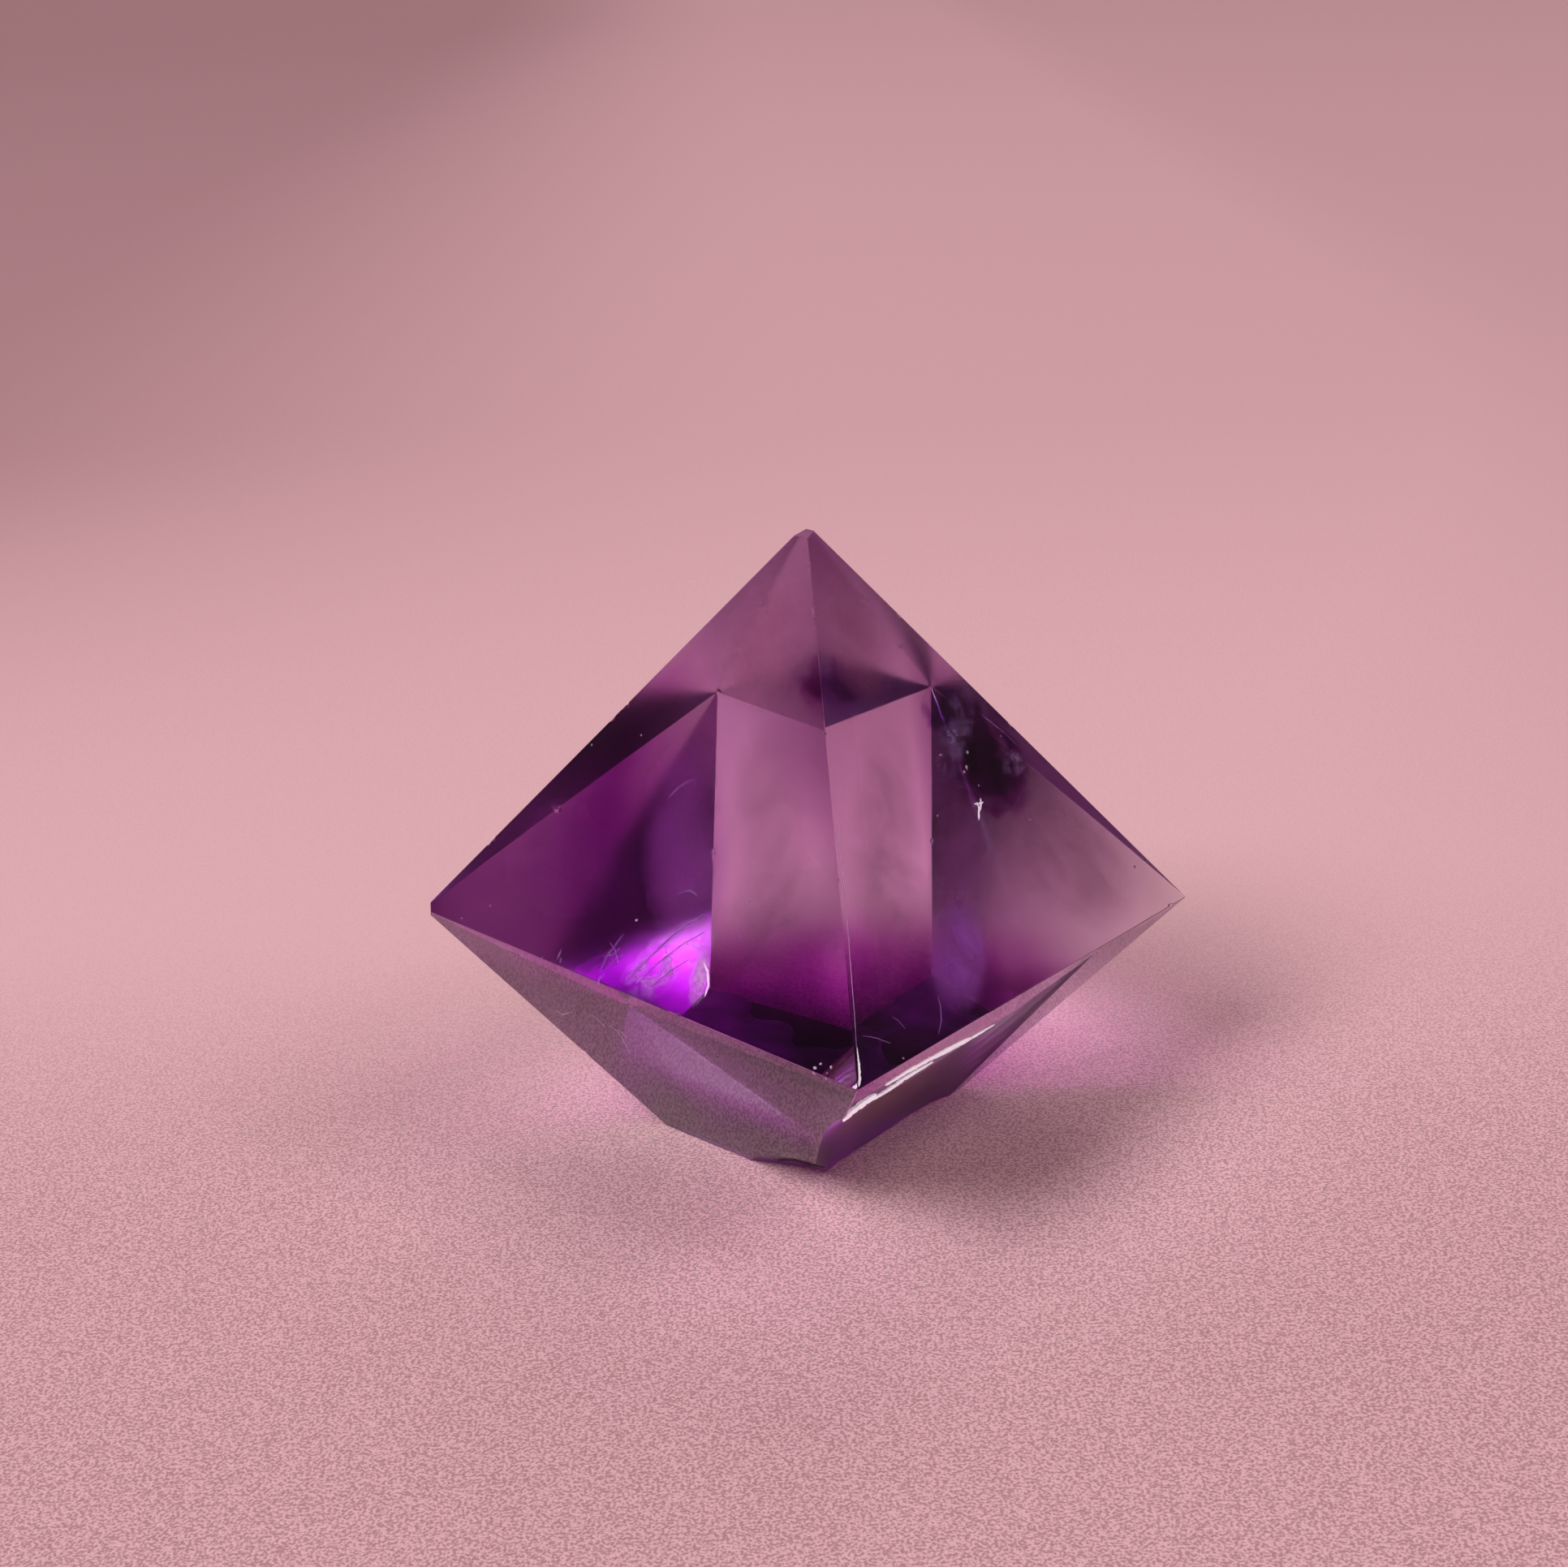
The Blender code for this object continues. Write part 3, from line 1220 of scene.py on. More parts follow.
@dataclass
class CrystalBody:
    """The crystal itself: planes, worn edges, breaks and glass."""

    edge_wear: tuple = (
        ("top", "front", 0.006 * MM),
        ("top", "left", 0.020 * MM),
        ("top", "right", 0.020 * MM),
        ("top", "back", 0.008 * MM),
        ("front", "left", 0.014 * MM),
        ("front", "right", 0.014 * MM),
        ("back", "left", 0.010 * MM),
        ("back", "right", 0.008 * MM),
        ("bottom", "front", 0.016 * MM),
        ("bottom", "left", 0.022 * MM),
        ("bottom", "right", 0.022 * MM),
        ("bottom", "back", 0.006 * MM),
    )
    smooth_below: float = 28.0
    finish: ClearFluorite = field(default_factory=ClearFluorite)

    def planes(self) -> Planes:
        """The solid with a slim worn facet along each edge.

        Returns:
            The solid, before it is centred.
        """
        solid = STANCE.solid()
        tips = STANCE.tips()
        for first, second, depth in self.edge_wear:
            beside = [STANCE.face_plane(face)[0] for face in Face if {first, second} <= set(face.value)]
            normal = unit(sum(beside))
            solid.cut(normal, tips[first] - normal * depth)
        return solid

    def build(self) -> bpy.types.Object:
        """Cuts the planes, takes the damage off and centres the result.

        Returns:
            The finished crystal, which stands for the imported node.
        """
        points, faces = self.planes().outline()
        block = add_object("crystal_block", points, faces)
        crystal = take_away("fluorite_octahedron", block, Damage())
        crystal.data.transform(translation(STANCE.shift()))
        self.shade(crystal)
        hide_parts(NODE)
        return finished(crystal, self.finish)

    def shade(self, crystal: bpy.types.Object) -> None:
        """Shades curved breaks smooth, and keeps every edge of a flat face sharp.

        Args:
            crystal: the crystal, whose faces say which of them are broken.
        """
        mesh = crystal.data
        count = len(mesh.polygons)
        broken = np.zeros(count, np.float32)
        mesh.attributes["broken"].data.foreach_get("value", broken)
        normals = np.zeros(count * 3, np.float32)
        mesh.polygons.foreach_get("normal", normals)
        normals = normals.reshape(-1, 3)
        corner_edges = np.zeros(len(mesh.loops), np.int64)
        mesh.loops.foreach_get("edge_index", corner_edges)
        totals = np.zeros(count, np.int64)
        mesh.polygons.foreach_get("loop_total", totals)
        owner = np.repeat(np.arange(count), totals)
        order = np.argsort(corner_edges, kind="stable")
        first, second = owner[order][::2], owner[order][1::2]
        bend = np.degrees(np.arccos(np.clip((normals[first] * normals[second]).sum(1), -1.0, 1.0)))
        both = (broken[first] > 0.5) & (broken[second] > 0.5)
        sharp = ~both | (bend > self.smooth_below)
        mesh.shade_smooth()
        marks = mesh.attributes.new("sharp_edge", "BOOLEAN", "EDGE")
        marks.data.foreach_set("value", sharp)


def translation(shift: Array) -> Matrix:
    """The matrix of a move."""
    return Matrix.Translation(shift.tolist())


def mark_broken(item: bpy.types.Object, value: float) -> None:
    """Writes the face attribute that tells breaks from cleavage faces."""
    mark = item.data.attributes.new("broken", "FLOAT", "FACE")
    mark.data.foreach_set("value", np.full(len(item.data.polygons), value, np.float32))


def take_away(name: str, block: bpy.types.Object, damage: Damage) -> bpy.types.Object:
    """Cuts the damage out of a block with exact Booleans, and keeps the result as a mesh.

    Args:
        name: the finished object's name.
        block: the solid to cut, removed afterwards.
        damage: the cutters.

    Returns:
        The cut solid.
    """
    mark_broken(block, 0.0)
    cutters = [
        add_object("cutter", *shape)
        for shape in (damage.scar(), damage.chip(), damage.base(), damage.nicks())
    ]
    for cutter in cutters:
        mark_broken(cutter, 1.0)
        cut = block.modifiers.new("cut", "BOOLEAN")
        cut.operation = "DIFFERENCE"
        cut.solver = "EXACT"
        cut.object = cutter
    graph = bpy.context.evaluated_depsgraph_get()
    mesh = bpy.data.meshes.new_from_object(block.evaluated_get(graph))
    result = bpy.data.objects.new(name, mesh)
    bpy.context.scene.collection.objects.link(result)
    for spent in (block, *cutters):
        bpy.data.objects.remove(spent)
    return result


def finished(piece: bpy.types.Object, finish: object) -> bpy.types.Object:
    """Gives a piece its material and the body that it rides on.

    Args:
        piece: the piece.
        finish: what makes its one material.

    Returns:
        The piece.
    """
    piece.data.materials.clear()
    piece.data.materials.append(finish.material())
    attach(piece, BODY)
    return piece


def report(piece: bpy.types.Object) -> None:
    """Logs one finished piece."""
    LOG.info("%s: %d faces", piece.name, len(piece.data.polygons))


# Colour sealed in the crystal


# How wide a pixel of the photograph is at the crystal
PIXEL = 0.0415 * MM

# A stroke's rows are this many pixels apart, and it has this many points round
STROKE_STEP = 2.2
STROKE_TURNS = 8

# How far a stroke's middle strays, in pixels, and how its width varies
STROKE_STRAY = 0.25
STROKE_WIDTHS = (0.7, 1.3)

# A speck's rows and points round, how lumpy it is, and how its three sizes vary
SPECK_STEPS = (6, 8)
SPECK_LUMPS = 0.22
SPECK_SKIN = (0.5, 1.5)
SPECK_SIZES = (0.7, 1.2)


def face_axes(pixel: tuple, face: Face, lean: float, reach_pixels: tuple, thickness: float) -> Array:
    """Axes of a lens that lies along a face, given by how the camera sees it.

    Args:
        pixel: where the lens's middle is seen, in the photograph's frame.
        face: the face it lies along.
        lean: degrees by which it is turned anticlockwise in the picture.
        reach_pixels: how far it reaches to its sides and up, in the photograph's pixels.
        thickness: how far it reaches out of its own plane, in metres.

    Returns:
        3 by 3, rows are the lens's right, up and outward axes, right-handed.
    """
    c, s = math.cos(math.radians(lean)), math.sin(math.radians(lean))
    wide, tall = reach_pixels
    middle = np.array(pixel, float)
    ends = middle + np.array([[c * wide, -s * wide], [-s * tall, -c * tall]])
    right, up = SIGHT.on_face(ends, face) - SIGHT.on_face(middle, face)
    outward, _ = STANCE.face_plane(face)
    return np.array([right, up, outward * thickness])


@dataclass
class GrowthZone:
    """One violet growth zone: the part of the crystal beyond planes across its own axes.

    Each side is an own axis, where its plane crosses it in half-diagonals, +1 or -1 for the
    way the zone lies from there, and the depth over which the colour comes in.
    """

    name: str
    sides: tuple
    taken: tuple
    ruffle: float
    patchy: bool = True
    inset: float = 0.14 * MM

    def build(self) -> bpy.types.Object:
        """Cuts the zone out of a slightly smaller crystal.

        Returns:
            The zone's closed solid.
        """
        foot = STANCE.axes() @ np.array([0.0, 0.0, -STANCE.rest_depth]) * STANCE.half_diagonal
        solid = STANCE.solid().shrunk(self.inset)
        planes = []
        for own_axis, where, way, fade in self.sides:
            axis = STANCE.axes()[:, own_axis]
            point = axis * where * STANCE.half_diagonal - foot
            solid.cut(-axis * way, point - axis * way * self.ruffle)
            planes.append((-axis * way, point + STANCE.shift(), fade))
        block = add_object(self.name + "_block", *solid.outline())
        zone = take_away(self.name, block, Damage(margin=self.inset))
        zone.data.transform(translation(STANCE.shift()))
        return finished(zone, ZoneViolet(self.name, self.taken, tuple(planes), self.ruffle, self.patchy))


@dataclass
class SmokeCloud:
    """A cloud of smoky violet, placed where the photograph shows it through a face."""

    name: str
    pixel: tuple
    face: Face
    depth: float
    reach_pixels: tuple
    thickness: float
    taken: tuple
    lump: float
    gap: tuple
    lean: float
    steps: tuple = (24, 36)
    swell: float = 0.10

    def build(self) -> bpy.types.Object:
        """Makes the cloud's ball.

        Its reach is 1 + swell sin(3 azimuth) sin(polar) cos(2 polar), so it swells and sinks.

        Returns:
            The cloud's closed solid.
        """
        axes = face_axes(self.pixel, self.face, self.lean, self.reach_pixels, self.thickness)
        centre = SIGHT.within(np.array(self.pixel), self.face, np.array(self.depth))
        rows, turns = self.steps
        polar = np.linspace(0.0, math.pi, rows)[:, None]
        azimuth = np.linspace(0.0, 2.0 * math.pi, turns)[None, :]
        skin = 1.0 + self.swell * (np.sin(3.0 * azimuth) * np.sin(polar) * np.cos(2.0 * polar))
        cloud = add_object(self.name, *closed_ball(skin, axes, centre))
        cloud.data.shade_smooth()
        return finished(cloud, SmokyViolet(self.name, self.taken, centre, axes, self.lump, self.gap))


@dataclass(frozen=True)
class Stroke:
    """One thin mark: its path and its width in the photograph's pixels, and its depth in metres."""

    path: tuple
    width: float
    depth: float = 0.12 * MM
    swell: float = 0.0

    def shape(self, face: Face, random: np.random.Generator) -> tuple[Array, list]:
        """A flat closed tube along the path, as the camera sees it through the face.

        With s the share of the way, the half width is w/2 (4 s (1 - s))^0.4 (1 + swell s),
        rippled by the random noise, and the tube is a third as thick as it is wide.

        Args:
            face: the face that is looked through.
            random: gives the ripples.

        Returns:
            Points and faces.
        """
        knots = np.array(self.path, float)
        run = np.append(0.0, np.cumsum(np.linalg.norm(np.diff(knots, axis=0), axis=1)))
        rows = max(STROKE_TURNS, int(run[-1] / STROKE_STEP))
        share = np.linspace(0.0, 1.0, rows)
        pixels = np.stack([np.interp(share * run[-1], run, knots[:, k]) for k in (0, 1)], axis=-1)
        stray = random.normal(0.0, STROKE_STRAY, (rows, 2))
        pixels = pixels + np.sin(share * math.pi)[:, None] * stray
        middle = SIGHT.within(pixels, face, np.full(rows, self.depth))
        ahead = SIGHT.axes()[2]
        side = unit(np.cross(np.gradient(middle, axis=0), ahead))
        taper = (4.0 * share * (1.0 - share)) ** 0.4 * (1.0 + self.swell * share)
        half = 0.5 * self.width * PIXEL * taper * random.uniform(*STROKE_WIDTHS, rows)
        turn = np.linspace(0.0, 2.0 * math.pi, STROKE_TURNS, endpoint=False)
        across = side[:, None] * np.cos(turn)[None, :, None]
        along = ahead * np.sin(turn)[None, :, None] / 3.0
        return closed_shell(middle[:, None] + (across + along) * half[:, None, None])


@dataclass
class StrokeSet:
    """Strokes of one finish, seen through one face, as one piece."""

    name: str
    face: Face
    finish: PaleMark
    strokes: tuple
    seed: int = 3

    def build(self) -> bpy.types.Object:
        """Draws every stroke.

        Returns:
            The piece.
        """
        random = np.random.default_rng(self.seed)
        piece = add_object(self.name, *merged([s.shape(self.face, random) for s in self.strokes]))
        piece.data.shade_smooth()
        return finished(piece, self.finish)


@dataclass
class SpeckSet:
    """Grains seen through one face: each is a pixel place, a size in pixels and a depth."""

    name: str
    face: Face
    finish: PaleMark
    specks: tuple
    seed: int = 5

    def build(self) -> bpy.types.Object:
        """Makes every grain a lumpy ball.

        Returns:
            The piece.
        """
        random = np.random.default_rng(self.seed)
        balls = []
        for x, y, size, depth in self.specks:
            lumps = 1.0 + SPECK_LUMPS * random.standard_normal(SPECK_STEPS)
            axes = np.eye(3) * 0.5 * size * PIXEL * random.uniform(*SPECK_SIZES, 3)
            centre = SIGHT.within(np.array([x, y], float), self.face, np.array(depth))
            balls.append(closed_ball(np.clip(lumps, *SPECK_SKIN), axes, centre))
        return finished(add_object(self.name, *merged(balls)), self.finish)


@dataclass(frozen=True)
class VeilLilac:
    """Lilac haze that thins out towards the veil's rim: a breath of healed cracks, and in some veils
    painted light.
    """

    name: str
    colour: tuple
    alpha: float
    grain: float = 1.2 * MM
    gap: tuple = (0.35, 0.75)
    roughness: float = 0.8

    def material(self) -> bpy.types.Material:
        """A pale surface whose alpha is the veil's own fade, clouded.

        Returns:
            The material.
        """
        material, wiring = new_material(self.name)
        fade = wiring.node("ShaderNodeAttribute", attribute_name="fade").outputs["Fac"]
        mask = clouding(wiring, wiring.place(), self.grain, *self.gap)
        wiring.surface("ShaderNodeBsdfPrincipled", {
            "Base Color": (*self.colour, 1.0),
            "Roughness": self.roughness,
            "Alpha": wiring.times(wiring.times(fade, mask), self.alpha),
        })
        return material


@dataclass
class Veil:
    """A flat lens of haze, some of them painted light, seen through a face."""

    name: str
    pixel: tuple
    face: Face
    depth: float
    reach_pixels: tuple
    lean: float
    finish: VeilLilac
    thickness: float = 0.05 * MM
    steps: tuple = (25, 32)
    fade_power: float = 1.6

    def build(self) -> bpy.types.Object:
        """Makes the lens and writes its fade, (1 - r^2)^power for the share r of the way out.

        Returns:
            The piece.
        """
        axes = face_axes(self.pixel, self.face, self.lean, self.reach_pixels, self.thickness)
        centre = SIGHT.within(np.array(self.pixel, float), self.face, np.array(self.depth))
        veil = add_object(self.name, *closed_ball(np.ones(self.steps), axes, centre))
        points = np.array([corner.co for corner in veil.data.vertices])
        flat = ((points - centre) @ np.linalg.inv(axes))[:, :2]
        fade = veil.data.attributes.new("fade", "FLOAT", "POINT")
        share = np.clip(1.0 - (flat**2).sum(axis=1), 0.0, 1.0) ** self.fade_power
        fade.data.foreach_set("value", share.astype(np.float32))
        veil.data.shade_smooth()
        return finished(veil, self.finish)


# What the photograph shows in and on the crystal

# White for healed cracks and specks, and for the painted highlight down the front edge
WHITE_MARK_AND_HIGHLIGHT = PaleMark("healed_white_and_highlight", (0.95, 0.88, 0.96), 0.30)
LILAC = PaleMark("bruised_lilac", (0.62, 0.42, 0.80), 0.40, 0.38)
# Painted highlight: a glinting white that glows a little of its own, for glints that no lamp here makes
GLINT = PaleMark("glinting_white", (1.0, 0.92, 0.98), 0.30, 1.0, 0.45)
# Dark grains, and the painted contact shadow along the foot
DARK_GRAIN_AND_SHADOW = PaleMark("dark_grain_and_shadow", (0.05, 0.012, 0.035), 0.60, 0.9)


def colour_clouds() -> tuple:
    """The growth zones and the smoky clouds.

    Returns:
        The pieces, ready to be built.
    """
    return (
        GrowthZone("left_violet_zone", ((0, -0.20, -1.0, 5.0 * MM), (0, -0.60, 1.0, 3.0 * MM)),
                   (74.0, 290.0, 56.0), 1.8 * MM),
        GrowthZone("top_grey_zone", ((2, 0.30, 1.0, 0.0),), (27.0, 37.0, 29.0), 0.0, patchy=False,
                   inset=0.11 * MM),
        GrowthZone("right_grey_zone", ((0, 0.20, 1.0, 0.0), (2, -0.06, 1.0, 0.0)),
                   (46.0, 66.0, 42.0), 0.0, patchy=False,
                   inset=0.17 * MM),
        GrowthZone("foot_violet_zone", ((2, -0.24, -1.0, 6.4 * MM), (1, 0.32, -1.0, 2.0 * MM)),
                   (330.0, 1300.0, 300.0), 0.6 * MM, inset=0.20 * MM),
        SmokeCloud("right_smoke", (1216, 938), Face.UPPER_RIGHT, 2.1 * MM, (49, 86), 1.7 * MM,
                   (850.0, 3400.0, 800.0), 1.5 * MM, (0.36, 0.62), 24.0),
        SmokeCloud("upper_smoke", (1170, 876), Face.UPPER_RIGHT, 1.5 * MM, (35, 42), 1.2 * MM,
                   (700.0, 1500.0, 500.0), 1.1 * MM, (0.40, 0.62), 30.0),
        SmokeCloud("front_smoke", (1036, 846), Face.UPPER_RIGHT, 1.9 * MM, (32, 48), 1.35 * MM,
                   (600.0, 1900.0, 620.0), 1.4 * MM, (0.42, 0.66), 12.0),
    )


def left_marks() -> tuple:
    """Marks seen through the left upper face.

    Returns:
        The pieces, ready to be built.
    """
    face = Face.UPPER_LEFT
    return (
        StrokeSet("left_scratches", face, LILAC, (
            Stroke(((739, 1197), (748, 1178), (757, 1166), (769, 1150)), 2.0),
            Stroke(((742, 1180), (755, 1176), (764, 1168)), 1.6),
            Stroke(((746, 1193), (760, 1180), (768, 1175)), 1.6),
            Stroke(((751, 1160), (758, 1172), (762, 1188)), 1.4),
            Stroke(((686, 1184), (689, 1176), (692, 1169)), 3.0, swell=-0.6),
            Stroke(((690, 1187), (691, 1180)), 2.4),
            Stroke(((737, 1214), (739, 1206), (744, 1199)), 3.6, swell=-0.7),
            Stroke(((823, 983), (836, 970), (852, 960)), 1.2, 0.4 * MM),
            Stroke(((838, 1100), (850, 1097), (860, 1104)), 2.0, 0.5 * MM),
        )),
        StrokeSet("patch_streaks", face, LILAC, (
            Stroke(((772, 1207), (800, 1180), (832, 1150), (868, 1126)), 3.4, 0.3 * MM),
            Stroke(((784, 1212), (812, 1186), (842, 1163), (869, 1148)), 2.6, 0.3 * MM),
            Stroke(((778, 1203), (812, 1168), (845, 1140), (866, 1131)), 1.8, 0.3 * MM),
            Stroke(((800, 1218), (826, 1196), (850, 1182)), 2.2, 0.3 * MM),
        )),
        # Painted highlight: the glinting rim of the bright patch
        StrokeSet("patch_rim", face, GLINT, (
            Stroke(((867, 1186), (872, 1197), (873, 1214), (868, 1229)), 2.6, 0.3 * MM),
        )),
        Veil("left_apex_cloud", (944, 790), face, 0.7 * MM, (56, 98), -14.0,
             VeilLilac("apex_cloud", (0.50, 0.155, 0.31), 0.50, 3.0 * MM, (0.0, 0.9))),
        Veil("left_cloud", (686, 1056), face, 0.5 * MM, (80, 84), 20.0,
             VeilLilac("left_cloud_violet", (0.27, 0.02, 0.25), 0.45, 3.0 * MM, (0.1, 0.8))),
        Veil("left_column_cloud", (948, 1050), face, 1.0 * MM, (62, 185), 0.0,
             VeilLilac("column_cloud", (0.27, 0.085, 0.18), 0.40, 3.5 * MM, (0.0, 0.9))),
        # Painted highlight: the bright patch, where overhead light comes through the crystal, and its
        # whiter edge
        Veil("patch_highlight_veil", (824, 1183), face, 0.5 * MM, (80, 36), 38.0,
             VeilLilac("patch_highlight_lilac", (0.86, 0.70, 0.97), 0.75, 0.7 * MM)),
        Veil("patch_edge_highlight", (862, 1204), face, 0.5 * MM, (14, 40), -12.0,
             VeilLilac("patch_white_highlight", (1.0, 0.86, 1.0), 0.85, 0.5 * MM, (0.0, 0.9))),
        Veil("column_haze", (846, 1040), face, 0.8 * MM, (62, 150), 0.0,
             VeilLilac("column_violet", (0.52, 0.11, 0.56), 0.62, 4.5 * MM, (0.0, 0.9))),
        SpeckSet("left_specks", face, WHITE_MARK_AND_HIGHLIGHT, (
            (790, 906, 2.6, 0.2 * MM), (729, 918, 2.4, 0.2 * MM), (604, 1116, 2.2, 0.2 * MM),
            (569, 1131, 2.2, 0.2 * MM), (784, 1134, 2.6, 0.6 * MM), (923, 1110, 2.8, 0.8 * MM),
            (930, 1062, 1.8, 1.0 * MM), (965, 1109, 1.8, 1.2 * MM), (1004, 1316, 4.0, 0.5 * MM),
            (1011, 1311, 2.6, 0.5 * MM), (1024, 1315, 3.4, 0.5 * MM), (1019, 1322, 2.0, 0.5 * MM),
        )),
    )


def right_marks() -> tuple:
    """Marks seen through the right upper face.

    Returns:
        The pieces, ready to be built.
    """
    face = Face.UPPER_RIGHT
    return (
        # A white feather, whose glinting white also glows a little of its own as a painted highlight
        StrokeSet("white_feather", face, GLINT, (
            Stroke(((1208, 983), (1209, 992), (1206, 1000), (1206, 1011)), 3.0, 0.3 * MM),
            Stroke(((1203, 988), (1206, 994), (1207, 1001)), 2.6, 0.35 * MM),
            Stroke(((1200, 991), (1208, 990), (1212, 988)), 1.8, 0.3 * MM),
        )),
        SpeckSet("right_specks", face, WHITE_MARK_AND_HIGHLIGHT, (
            (1192, 927, 4.6, 0.3 * MM), (1191, 946, 5.0, 0.3 * MM), (1188, 951, 3.4, 0.3 * MM),
            (1159, 930, 3.0, 0.3 * MM), (1269, 1010, 3.0, 0.3 * MM), (1206, 968, 2.4, 0.5 * MM),
            (1233, 907, 2.4, 0.3 * MM), (1155, 1005, 1.8, 0.3 * MM), (1113, 1304, 2.6, 0.4 * MM),
        )),
        SpeckSet("right_grain", face, DARK_GRAIN_AND_SHADOW, (
            (1398, 1068, 4.0, 0.1 * MM), (1073, 846, 3.0, 0.3 * MM),
        )),
        StrokeSet("right_threads", face, LILAC, (
            Stroke(((1209, 880), (1226, 894), (1240, 905), (1255, 921)), 1.8, 0.2 * MM),
            Stroke(((1098, 1252), (1107, 1258), (1116, 1268)), 1.0, 0.3 * MM),
            Stroke(((1155, 1226), (1159, 1240), (1160, 1258), (1156, 1276)), 1.4, 0.5 * MM),
            Stroke(((1062, 1276), (1080, 1279), (1098, 1286)), 1.0, 0.6 * MM),
        )),
        Veil("right_apex_cloud", (1052, 787), face, 0.8 * MM, (42, 97), 22.0,
             VeilLilac("right_apex_cloud", (0.50, 0.155, 0.31), 0.50, 3.0 * MM, (0.0, 0.9))),
        Veil("tip_cloud", (1318, 1058), face, 0.6 * MM, (66, 118), 42.0,
             VeilLilac("tip_cloud", (0.44, 0.18, 0.29), 0.50, 3.0 * MM, (0.0, 0.9))),
        Veil("right_column_cloud", (1091, 1050), face, 1.0 * MM, (50, 185), 0.0,
             VeilLilac("right_column_cloud", (0.27, 0.085, 0.18), 0.44, 3.5 * MM, (0.0, 0.9))),
        # Painted light: the upper part of the violet glow from light through the crystal on the floor
        # behind it
        Veil("right_upper_glow", (1184, 1085), face, 1.2 * MM, (42, 130), 0.0,
             VeilLilac("upper_glow_violet", (0.42, 0.13, 0.40), 0.70, 3.5 * MM, (0.0, 0.9))),
        # Painted light: a violet glow, where light through the crystal falls on the floor behind it
        Veil("right_glow", (1182, 1176), face, 0.8 * MM, (42, 76), 0.0,
             VeilLilac("glow_violet", (0.60, 0.18, 0.82), 0.85, 3.0 * MM, (0.0, 0.9))),
        Veil("cloud_wisp", (1176, 905), face, 0.7 * MM, (26, 66), -12.0,
             VeilLilac("cloud_lilac", (0.40, 0.27, 0.55), 0.60, 0.8 * MM)),
        Veil("smoke_wisp", (1249, 941), face, 0.5 * MM, (17, 19), 40.0,
             VeilLilac("wisp_lilac", (0.62, 0.50, 0.85), 0.55, 0.5 * MM)),
    )


def lower_marks() -> tuple:
    """Marks on and behind the two lower front faces.

    Returns:
        The pieces, ready to be built.
    """
    left, right = Face.LOWER_LEFT, Face.LOWER_RIGHT
    return (
        StrokeSet("healed_lines", left, WHITE_MARK_AND_HIGHLIGHT, (
            Stroke(((684, 1245), (694, 1250), (705, 1247)), 2.2, 0.08 * MM),
            Stroke(((727, 1249), (736, 1256), (746, 1266)), 2.4, 0.08 * MM),
            Stroke(((749, 1263), (761, 1270), (768, 1282), (777, 1299)), 2.8, 0.08 * MM),
            Stroke(((755, 1268), (766, 1272), (773, 1280)), 1.6, 0.08 * MM),
        )),
        StrokeSet("dark_hook", left, DARK_GRAIN_AND_SHADOW, (
            Stroke(((718, 1226), (715, 1238), (709, 1250)), 2.6, 0.06 * MM),
            Stroke(((709, 1250), (714, 1247)), 2.2, 0.06 * MM),
            Stroke(((880, 1300), (888, 1303)), 4.0, 0.06 * MM),
        )),
        # Painted shadow: the dark contact line under the raised front break
        StrokeSet("foot_shadow_line", left, DARK_GRAIN_AND_SHADOW, (
            Stroke(((930, 1426), (952, 1433), (975, 1435), (998, 1441), (1014, 1444)), 3.4, 0.45 * MM),
        )),
        Veil("scar_haze", (1106, 1367), right, 1.4 * MM, (100, 18), 34.0,
             VeilLilac("scar_mauve", (0.36, 0.16, 0.23), 1.0, 0.9 * MM, (0.0, 0.40))),
        # Painted highlight: the brilliant white glint along the scar's lip, which glows a little of its
        # own
        StrokeSet("lip_glint", right, GLINT, (
            Stroke(((1038, 1382), (1048, 1371), (1062, 1360), (1080, 1348)), 6.5, -0.03 * MM),
            Stroke(((1066, 1360), (1088, 1347), (1120, 1325), (1150, 1308)), 3.6, -0.03 * MM),
            Stroke(((1090, 1338), (1122, 1318), (1165, 1294), (1196, 1278)), 3.4, -0.03 * MM),
            Stroke(((1150, 1305), (1178, 1290), (1205, 1274), (1226, 1262)), 2.2, -0.03 * MM),
        )),
    )


def front_edge_highlights() -> tuple:
    """A painted highlight down the worn front edge: a light line, which widens to a lens over the front
    tip.

    Returns:
        The pieces, ready to be built.
    """
    return (
        # Painted highlight: the light line and lens where the worn front edge catches a lamp
        StrokeSet("edge_highlight_line", Face.UPPER_RIGHT, WHITE_MARK_AND_HIGHLIGHT, (
            Stroke(((1031, 968), (1037, 1060), (1045, 1150), (1052, 1240), (1056, 1300)),
                   1.0, 0.02 * MM),
        )),
        StrokeSet("edge_highlight_lens", Face.UPPER_RIGHT, WHITE_MARK_AND_HIGHLIGHT, (
            Stroke(((1056, 1290), (1058, 1312), (1059, 1330), (1058, 1340)), 1.5, 0.0, 2.0),
        )),
    )


# The room


